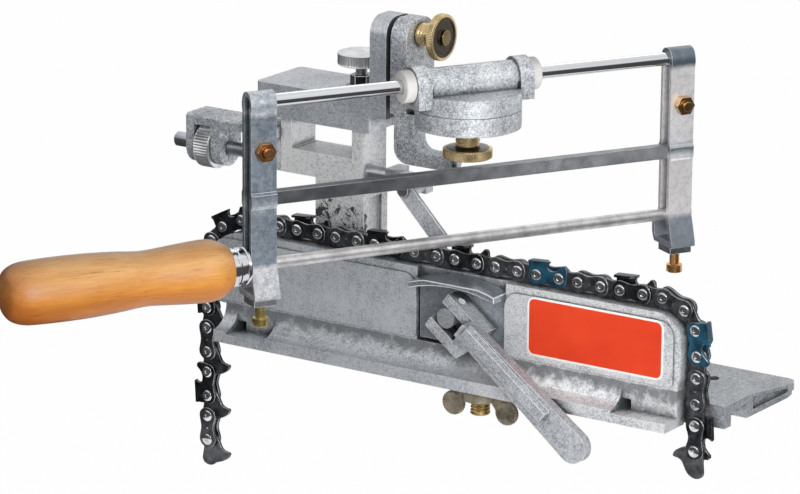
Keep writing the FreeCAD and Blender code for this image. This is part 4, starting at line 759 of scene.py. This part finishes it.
# Screws: from and to are the thread's ends, where it doesn't run the whole length
screws = {
    "baseStud": {"node": "base_stud", "body": "base", "way": (0, 0, 1), "radius": 4.0, "pitch": 1.25,
        "depth": 0.6, "paint": "brass", "slot": "brass"},
    "heightSpindle": {"node": "height_spindle", "body": "height_screw", "way": (0, 0, 1), "radius": 2.5,
        "pitch": 0.8, "depth": 0.35, "paint": "zinc", "slot": "zinc_steel"},
    "stopRod": {"node": "stop_rod", "body": "stop_slider", "way": (1, 0, 0), "radius": 3.0, "pitch": 1.0,
        "depth": 0.22, "paint": "zinc", "slot": "zinc_steel", "from": 9.0, "to": 42.0},
}
for name, k in screws.items():
    start, way, length = lieOf(k["node"], k["way"])
    ripple = thread(k["pitch"], k["depth"], k.get("from", 0.5), k.get("to", length - 0.5))
    part = turned(rodProfile(length, k["radius"], 0.5, k["pitch"] / 6), start, way, 30, ripple)
    addPiece(name, [part], k["body"], finishes[k["paint"]], [k["node"]], "round")
print("rods and threads made")

# Handle and ferrule
handle = {"start": -102.0, "length": 92.0, "face": 8.6, "front": 12.3, "waist": 10.4, "butt": 12.4,
        "spigot": 6.5, "spigotLength": 7.1}
ferrule = {"length": 7.6, "radius": 7.5, "wall": 0.9, "bead": 0.35}


def handleProfile(h):
    # radius by share of the length: a bulge near the ferrule, a waist, a long butt that rounds off
    shares = np.array([0.0, 0.03, 0.09, 0.20, 0.38, 0.50, 0.63, 0.75, 0.88, 0.93, 0.965, 0.988, 1.0])
    radii = np.array([h["face"], 0.93 * h["front"], h["front"], 0.95 * h["front"], h["waist"],
            0.5 * (h["waist"] + h["butt"]) + 0.2, h["butt"] - 0.15, h["butt"], 0.985 * h["butt"],
            0.93 * h["butt"], 0.81 * h["butt"], 0.60 * h["butt"], 0.0])
    fine = np.concatenate([np.linspace(0, 0.9, 46), 0.9 + 0.1 * np.sin(np.linspace(0, math.pi / 2, 24))[1:]])
    smooth = np.interp(fine, shares, radii)
    for _ in range(5):
        smooth[1:-1] = 0.25 * smooth[:-2] + 0.5 * smooth[1:-1] + 0.25 * smooth[2:]
    rows = [(-h["spigotLength"], 0.0), (-h["spigotLength"], h["spigot"]), (-0.01, h["spigot"])]
    return rows + [(s * h["length"], r) for s, r in zip(fine, smooth)]


handleFoot = onBow(handle["start"], "fileZ")
addPiece("handle", [turned(handleProfile(handle), handleFoot, -bowWay, 64)], "bow", finishes["wood"],
        ["handle"], "round")
outer, inner, bead = ferrule["radius"], ferrule["radius"] - ferrule["wall"], ferrule["bead"]
ferruleRows = [(0.1, inner), (0.1, outer - 0.2), (0.3, outer), (2.0, outer), (2.4, outer - bead),
        (3.0, outer - bead), (3.4, outer), (5.6, outer), (6.2, outer - bead), (6.8, outer - 0.1),
        (7.3, outer - 0.1), (ferrule["length"], outer - 0.6), (ferrule["length"], inner)]
addPiece("ferrule", [turned(ferruleRows, handleFoot, bowWay, 56, closed=True)], "bow", finishes["rod"],
        ["ferrule"])

# Bushings: a collar with rounded rims on a sleeve
bushing = {"collar": 6.4, "sleeve": 4.8, "bore": 2.74, "proud": 4.2, "sleeveLength": 9.0, "face": 25.0,
        "edge": 0.7}
b = bushing
bushingRows = [(-b["sleeveLength"], b["bore"]), (-b["sleeveLength"], b["sleeve"]), (0.0, b["sleeve"]),
        (0.0, b["collar"] - 0.2), (0.2, b["collar"])]
bushingRows += rounded(b["proud"], b["collar"], b["edge"], 6)
bushingRows += [(b["proud"], b["bore"] + 0.3), (b["proud"] - 0.3, b["bore"])]
for name, node, side in (("bushingLeft", "bushing_left", -1), ("bushingRight", "bushing_right", 1)):
    collar = turned(bushingRows, onBow(side * b["face"], "rodZ"), side * bowWay, 48, closed=True)
    addPiece(name, [collar], "housing", finishes["plastic"], [node])
print("handle, ferrule and bushings made")


# Saw chain: spacing and sizes in millimetres, the rivet line's ends and bends, and the marked pairs
chain = {"strapGap": 10.2, "driveGap": 8.6, "half": 4.0, "thick": 1.4, "driveThick": 1.5, "play": 0.1,
        "headRadius": 2.35, "headRise": 0.75, "dimple": 0.22, "dotRadius": 0.42, "dotRise": 0.14,
        "toothRise": 6.0, "toothThick": 1.2, "tang": 10.2, "eye": 3.6, "end": 0.86, "waist": (0.10, 0.15),
        "firstCutter": -79.3, "leftX": -124.0, "rightX": 105.4, "leftBend": 21.0, "rightBend": 15.5,
        "nearTail": 70.0, "farTail": 114.0, "marked": (6, 10)}
strapInner = chain["driveThick"] / 2 + chain["play"]
strapOuter = strapInner + chain["thick"]


def pathPoint(distance, c):
    # the rivet line: up the far tail, over the rail's two rounded corners, down the near tail
    topStart, topEnd = c["leftX"] + c["leftBend"], c["rightX"] - c["rightBend"]
    leftCorner, rightCorner = (c[bend] * math.pi / 2 for bend in ("leftBend", "rightBend"))
    past = distance - (topEnd - topStart)
    if distance < -leftCorner:
        return np.array([c["leftX"], -c["leftBend"] + distance + leftCorner])
    if past >= rightCorner:
        return np.array([c["rightX"], -c["rightBend"] - (past - rightCorner)])
    if 0 <= distance and past <= 0:
        return np.array([topStart + distance, 0.0])
    corner, bend, run = topEnd, c["rightBend"], past
    if distance < 0:
        corner, bend, run = topStart, c["leftBend"], distance
    return np.array([corner + bend * math.sin(run / bend), bend * (math.cos(run / bend) - 1)])


def rivetLine(c):
    # rivets by number, each found by halving the step along the path until it is one gap away
    rivets = {}
    for way, tail in ((1, c["nearTail"]), (-1, c["farTail"])):
        distance, number = c["firstCutter"] - (c["leftX"] + c["leftBend"]), 0
        while pathPoint(distance, c)[1] > -tail:
            here = pathPoint(distance, c)
            rivets[number] = here
            gap = c["strapGap"] if min(number, number + way) % 2 == 0 else c["driveGap"]
            low, high = 0.8 * gap, 1.3 * gap
            for _ in range(30):
                step = (low + high) / 2
                if np.linalg.norm(pathPoint(distance + way * step, c) - here) < gap:
                    low = step
                else:
                    high = step
            distance += way * step
            number += way
    return rivets


def strapOutline(c):
    # two round ends joined by edges that draw in to a waist: half height = h (1 - waist (1 - cos))
    g, h = c["strapGap"], c["half"]
    turn = np.linspace(-math.pi / 2, math.pi / 2, 11)
    right = np.stack([c["end"] * h * np.cos(turn), h * np.sin(turn)], 1)
    x = np.linspace(0, g, 11)[1:-1]
    top, bottom = (h * (1 - waist * (1 - np.cos(2 * math.pi * x / g))) for waist in c["waist"])
    return np.concatenate([right + (g, 0), np.stack([x, top], 1)[::-1], -right, np.stack([x, -bottom], 1)])


def cutterOutline(c):
    # side of a cutter: foot like a strap's, heel, top, hooked face, gullet, depth gauge
    g, h, t = c["strapGap"], c["half"], c["toothRise"]
    return np.array([
        (0.0, -h), (0.25 * g, -0.84 * h), (0.5 * g, -0.74 * h), (0.75 * g, -0.84 * h), (g, -h),
        (g + 0.45 * h, -0.85 * h), (g + 0.78 * h, -0.5 * h), (g + 0.86 * h, 0.0), (g + 0.92 * h, 0.6 * h),
        (g + 0.86 * h, 1.12 * h), (g + 0.66 * h, t - 0.75), (g + 0.38 * h, t - 0.8), (g + 0.1 * h, 0.98 * h),
        (g - 0.25 * h, 0.70 * h), (0.72 * g, 0.60 * h), (0.58 * g, 0.66 * h), (0.50 * g, 0.86 * h),
        (0.51 * g, 1.15 * h), (0.575 * g, t - 0.4), (0.58 * g, t), (0.2 * g, t - 0.12), (-0.4 * h, t - 0.36),
        (-0.85 * h, t - 0.5), (-0.86 * h, 0.9 * h), (-0.82 * h, 0.3 * h), (-0.8 * h, -0.4 * h),
        (-0.5 * h, -0.85 * h),
    ])


def topPlate(c, side):
    # the cutter's top: a sloping plate whose cutting edge runs back from the outer corner, in sections of
    # heel and front, above and below
    g, h, t, thick, bevel = c["strapGap"], c["half"], c["toothRise"], c["toothThick"], 0.35
    outer, inner = side * (strapOuter + 0.45), -side * 0.5 * strapOuter
    sections = []
    for share in np.linspace(0, 1, 6):
        y = outer + (inner - outer) * share
        heel, front = -0.85 * h, 0.58 * g - 2.0 * share
        drop = bevel * max(0.0, share - 0.6)
        under = drop + thick * (0.75 if share > 0.8 else 1.0)
        sections.append([(heel, y, t - 0.5 - drop), (front, y, t - drop), (front - bevel, y, t - under),
                (heel, y, t - 0.5 - under)])
    faces = gridFaces(6, 4, False, True) + [[0, 1, 2, 3], [20, 21, 22, 23]]
    return np.array(sections).reshape(-1, 3), faces


def driveOutline(c):
    # two eyes over a hooked tang
    r, g, t = c["eye"], c["driveGap"], c["tang"]
    corners = ((-0.66 * r, -0.5 * r), (-0.3 * r, -1.0 * r), (-0.02 * g, -0.62 * t), (0.16 * g, -0.88 * t),
            (0.36 * g, -0.99 * t), (0.47 * g, -0.97 * t), (0.50 * g, -0.80 * t), (0.62 * g, -0.60 * t),
            (g, -0.44 * t), (g + 0.55 * r, -0.72 * r), (g + 0.78 * r, 0.0), (g + 0.55 * r, 0.70 * r),
            (g, 0.9 * r), (0.5 * g, 0.8 * r), (0, r), (-0.60 * r, 0.68 * r), (-0.78 * r, 0.05 * r))
    return smoothed(corners, 2)


def dome(centre, radius, rise, side, dimple, around):
    # a rivet head: a low dome, with a small dimple at its crown where that is set
    foot = 0.08
    turn = np.linspace(0, math.pi / 2, 7)[1:-1]
    rows = [(-0.1, 0.0), (-0.1, radius), (foot, radius)]
    rows += [(foot + (rise - foot) * math.sin(t), radius * math.cos(t) ** 0.7) for t in turn]
    if dimple:
        rows += [(rise, radius * 0.28), (rise - dimple, radius * 0.16)]
    rows.append((rise - dimple, 0.0))
    return turned(rows, centre, (0, side, 0), around)


def heads(place, radius, rise, dimple, around):
    # the two heads of a rivet, on the near and the far strap
    return [dome((place[0], side * strapOuter, place[1]), radius, rise, side, dimple, around)
            for side in (-1, 1)]


rivets = rivetLine(chain)
nearSide, farSide = (-strapOuter, -strapInner), (strapInner, strapOuter)
strap, cutter = strapOutline(chain), cutterOutline(chain)
strapNear, strapFar = plate(strap, *nearSide, 0.2), plate(strap, *farSide, 0.2)
cutterNear = joined([plate(cutter, *nearSide, 0.15), topPlate(chain, -1), strapFar])
cutterFar = joined([plate(cutter, *farSide, 0.15), topPlate(chain, 1), strapNear])
tie = joined([strapNear, strapFar])
drive = plate(driveOutline(chain), -chain["driveThick"] / 2, chain["driveThick"] / 2, 0.15)
links = {"tie": [], "cutter": [], "marked": [], "drive": [], "rivets": []}
for number in sorted(rivets):
    if number + 1 not in rivets:
        continue
    here, run = rivets[number], rivets[number + 1] - rivets[number]
    pair = number // 2
    if number % 2:
        links["drive"].append(moved(drive, here, run))
        continue
    if pair % 2:
        links["tie"].append(moved(tie, here, run))
        links["rivets"] += heads(here + run / 2, chain["dotRadius"], chain["dotRise"], 0, 10)
    else:
        kind = "marked" if pair in chain["marked"] else "cutter"
        links[kind].append(moved(cutterNear if pair % 4 else cutterFar, here, run))
    for rivet in (rivets[number], rivets[number + 1]):
        links["rivets"] += heads(rivet, chain["headRadius"], chain["headRise"], chain["dimple"], 20)
for name, kind, paint, slot, nodes in (
        ("tieStraps", "tie", "chain", "chain_steel", ["chain_tie_links"]),
        ("cutters", "cutter", "cutter", "cutter_steel", ["chain_cutter_links"]),
        ("markedCutters", "marked", "marked", "marked_steel", ["chain_marked_cutters"]),
        ("driveLinks", "drive", "chain", "chain_steel", ["chain_drive_links"]),
        ("chainRivets", "rivets", "rivet", "zinc_steel", [])):
    # the sloping rims of the links carry a painted highlight
    addPiece(name, links[kind], "base", finishes[paint], nodes, offset=zero,
            edgePaint=None if kind == "rivets" else finishes["linkEdgeHighlight"])
print("saw chain made:", len(rivets), "rivets")

# Wing nut: a hub and two knurled ears, each on a neck from the hub's side to the ear's middle
wing = {"x": 12.5, "y": -44.0, "top": 1.2, "hubRadius": 7.2, "hubHigh": 3.8, "bore": 4.05, "earRadius": 4.9,
        "earThick": 2.6, "spread": 12.3, "earZ": -6.0, "teeth": 26, "depth": 0.25, "neckIn": 5.0,
        "neckOut": 8.5, "neckRise": 4.4, "neckFoot": (3.5, 1.0)}
hub, hubFoot = wing["hubRadius"], wing["top"] - wing["hubHigh"]
hubRows = [(0, wing["bore"]), (0, hub - 0.4), (0.4, hub), (wing["hubHigh"] - 0.4, hub),
        (wing["hubHigh"], hub - 0.4), (wing["hubHigh"], wing["bore"])]
parts = [turned(hubRows, (wing["x"], wing["y"], hubFoot), (0, 0, 1), 40, closed=True)]
t, e = wing["earThick"], wing["earRadius"]
earRows = [(0, 0), (0.25, 0.5 * e), (0.05, 0.84 * e), (0.0, 0.9 * e), (0.35, e), (t - 0.35, e), (t, 0.9 * e),
        (t - 0.05, 0.84 * e), (t - 0.25, 0.5 * e), (t, 0)]
for side in (-1, 1):
    x = wing["x"] + side * wing["spread"]
    inX, outX = (wing["x"] + side * wing[end] for end in ("neckIn", "neckOut"))
    parts.append(turned(earRows, (x, wing["y"] - t / 2, wing["earZ"]), (0, 1, 0), wing["teeth"] * 4,
            knurl(wing["teeth"], wing["depth"], -0.2, t + 0.2)))
    neck = [(inX, wing["top"] - 0.1), (inX, hubFoot + 0.1),
            (x - side * wing["neckFoot"][0], wing["earZ"] - wing["neckFoot"][1]),
            (x, wing["earZ"] + wing["neckRise"]), (outX, wing["top"] - 0.1)]
    parts.append(plate(neck, wing["y"] - t / 2 + 0.2, wing["y"] + t / 2 - 0.2, 0.3))
addPiece("wingNut", parts, "wing_nut", finishes["wing"], ["wing_nut"])
print("wing nut made")


# Label place: a bare enamelled plate with a pale border on the rail's raised panel
label = {"left": 33.0, "right": 94.0, "top": -7.2, "bottom": -31.0, "corner": 3.2, "border": 0.9,
        "panel": -7.3, "thick": 0.12, "proud": 0.06, "bed": 0.1}


def labelPlate(inset, front, back, edge):
    # a plate with quarter-round corners, drawn in by the inset
    k, radius, corners = label, label["corner"] - inset, []
    left, right, bottom, top = k["left"] + inset, k["right"] - inset, k["bottom"] + inset, k["top"] - inset
    for x, z, first in ((right - radius, bottom + radius, -90), (right - radius, top - radius, 0),
            (left + radius, top - radius, 90), (left + radius, bottom + radius, 180)):
        turn = np.radians(first + np.linspace(0, 90, 6))
        corners.append(np.stack([x + radius * np.cos(turn), z + radius * np.sin(turn)], 1))
    return plate(np.concatenate(corners), front, back, edge)


labelFront = label["panel"] - label["thick"]
border = labelPlate(0.0, labelFront, label["panel"] + label["bed"], 0.03)
face = labelPlate(label["border"], labelFront - label["proud"], label["panel"], 0.02)
addPiece("labelBorder", [border], "base", finishes["white"], offset=zero)
addPiece("labelFace", [face], "base", finishes["red"], offset=zero)
print("label place made")

# Floor, light and camera, in metres
studio = {"world": 0.07, "floorMix": 0.99, "floorTone": 0.86, "floorHalf": 4.0, "floorGap": 0.0006,
        "screen": 0.08, "screenRadius": 0.55, "screenTop": 0.30, "screenBend": 0.04, "screenGap": 0.004,
        "apron": 0.16, "screenTurn": (-205.0, 40.0), "screenSteps": 61}
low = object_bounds()[0]


def stagePiece(name, points, faces, paintName):
    # a piece of the studio, and the empty node tree of its material
    mesh = bpy.data.meshes.new(name)
    mesh.from_pydata(points, [], faces)
    obj = linked(name, mesh)
    paint = bpy.data.materials.new(paintName)
    paint.use_nodes = True
    paint.node_tree.nodes.clear()
    mesh.materials.append(paint)
    return obj, paint.node_tree


def seenDirectly(tree):
    # 1 for rays from the camera, mirror rays and rays through glass
    path = addNode(tree, "LightPath").outputs
    total = path["Is Camera Ray"]
    for kind in ("Is Glossy Ray", "Is Transmission Ray"):
        total = addNode(tree, "Math", {0: total, 1: path[kind]}, operation="MAXIMUM").outputs[0]
    return total


half, floorZ, tone = studio["floorHalf"], low.z - studio["floorGap"], studio["floorTone"]
corners = [(-half, -half, floorZ), (half, -half, floorZ), (half, half, floorZ), (-half, half, floorZ)]
floor, tree = stagePiece("floor", corners, [(0, 1, 2, 3)], "paleFloor")
diffuse = addNode(tree, "BsdfDiffuse", {"Color": (tone, tone, tone, 1)})
glow = addNode(tree, "Emission", {"Strength": 1.0})
share = addNode(tree, "Math", {0: seenDirectly(tree), 1: studio["floorMix"]}, operation="MULTIPLY")
mix = addNode(tree, "MixShader", {0: share.outputs[0], 1: diffuse.outputs[0], 2: glow.outputs[0]})
addNode(tree, "OutputMaterial", {0: mix.outputs[0]})

world = bpy.data.worlds.new("studio")
bpy.context.scene.world = world
world.use_nodes = True
tree = world.node_tree
lift = addNode(tree, "MapRange", {"Value": seenDirectly(tree), "To Min": studio["world"], "To Max": 1.0})
tree.nodes["Background"].inputs["Color"].default_value = (1, 1, 1, 1)
tree.links.new(lift.outputs["Result"], tree.nodes["Background"].inputs["Strength"])

# Lamps: place, the point each looks at, size and power
lamps = {
    "keyLight": ((0.46, -0.46, 0.20), (0.07, -0.04, 0.03), (0.36, 0.36), 4.0),
    "fillLight": ((-0.15, -1.10, 0.28), (0.0, -0.04, 0.05), (0.7, 0.5), 1.9),
    "rimLight": ((-0.2, 0.85, 0.85), (0.0, -0.04, 0.05), (0.8, 0.4), 1.0),
}
for name, (place, target, size, power) in lamps.items():
    light = bpy.data.lights.new(name, "AREA")
    light.shape = "RECTANGLE"
    light.size, light.size_y = size
    light.energy = power
    lamp = linked(name, light)
    lamp.location = place
    lamp.rotation_euler = (Vector(target) - Vector(place)).to_track_quat("-Z", "Y").to_euler()

# A dark screen round the front, seen only in reflections, so that polished metal shows dark bands:
# a profile (radius, height) that runs out along the floor and then up, carried round an arc
radius, foot, bend = studio["screenRadius"], low.z + studio["screenGap"], studio["screenBend"]
turn = np.radians(np.linspace(*studio["screenTurn"], studio["screenSteps"]))
profile = np.array([(studio["apron"], foot), (radius - bend, foot), (radius, low.z + bend),
        (radius, studio["screenTop"])])
outward, upward = profile[:, :1], np.repeat(profile[:, 1:], len(turn), 1)
points = np.stack([outward * np.cos(turn), outward * np.sin(turn), upward], -1).reshape(-1, 3).tolist()
screen, tree = stagePiece("darkScreen", points, gridFaces(4, len(turn)), "darkScreen")
screen.visible_camera = screen.visible_diffuse = screen.visible_transmission = screen.visible_shadow = False
place = addNode(tree, "TexCoord").outputs["Object"]
height = addNode(tree, "SeparateXYZ", {0: place}).outputs["Z"]
fade = addNode(tree, "MapRange", {"Value": height, "From Min": 0.5 * studio["screenTop"],
        "From Max": studio["screenTop"], "To Min": studio["screen"],
        "To Max": 1.0}, interpolation_type="SMOOTHSTEP")
glow = addNode(tree, "Emission", {"Strength": fade.outputs["Result"]})
addNode(tree, "OutputMaterial", {0: glow.outputs[0]})

# The camera's place and turn in the working drawing: it looks down on the fixture from the front right
view = {"azimuth": 33.71, "elevation": 15.52, "distance": 1720.2, "focalPixels": 4411.0, "imageWidth": 800,
        "sideways": -25.89, "upward": 3.79, "roll": 0.46, "lift": 1.3, "sensor": 36.0, "farEnd": 20.0}
a, e, roll = (math.radians(view[key]) for key in ("azimuth", "elevation", "roll"))
forward = np.array([-math.sin(a) * math.cos(e), math.cos(a) * math.cos(e), -math.sin(e)])
right = np.array([math.cos(a), math.sin(a), 0.0])
up = np.cross(right, forward)
rolledRight = right * math.cos(roll) + up * math.sin(roll)
rolledUp = up * math.cos(roll) - right * math.sin(roll)
eye = rolledRight * view["sideways"] + rolledUp * view["upward"] - forward * view["distance"]
eye = (eye + zero + [0, 0, view["lift"]]) * mm
lens = bpy.data.cameras.new("camera")
lens.sensor_width = view["sensor"]
lens.lens = view["focalPixels"] / view["imageWidth"] * lens.sensor_width
lens.clip_end = view["farEnd"]
camera = linked("camera", lens)
turn = Matrix(np.stack([rolledRight, rolledUp, -forward], 1).tolist()).to_4x4()
camera.matrix_world = Matrix.Translation(Vector(eye)) @ turn
bpy.context.scene.camera = camera
bpy.context.scene.view_settings.view_transform = "Standard"
print("floor, light and camera set")
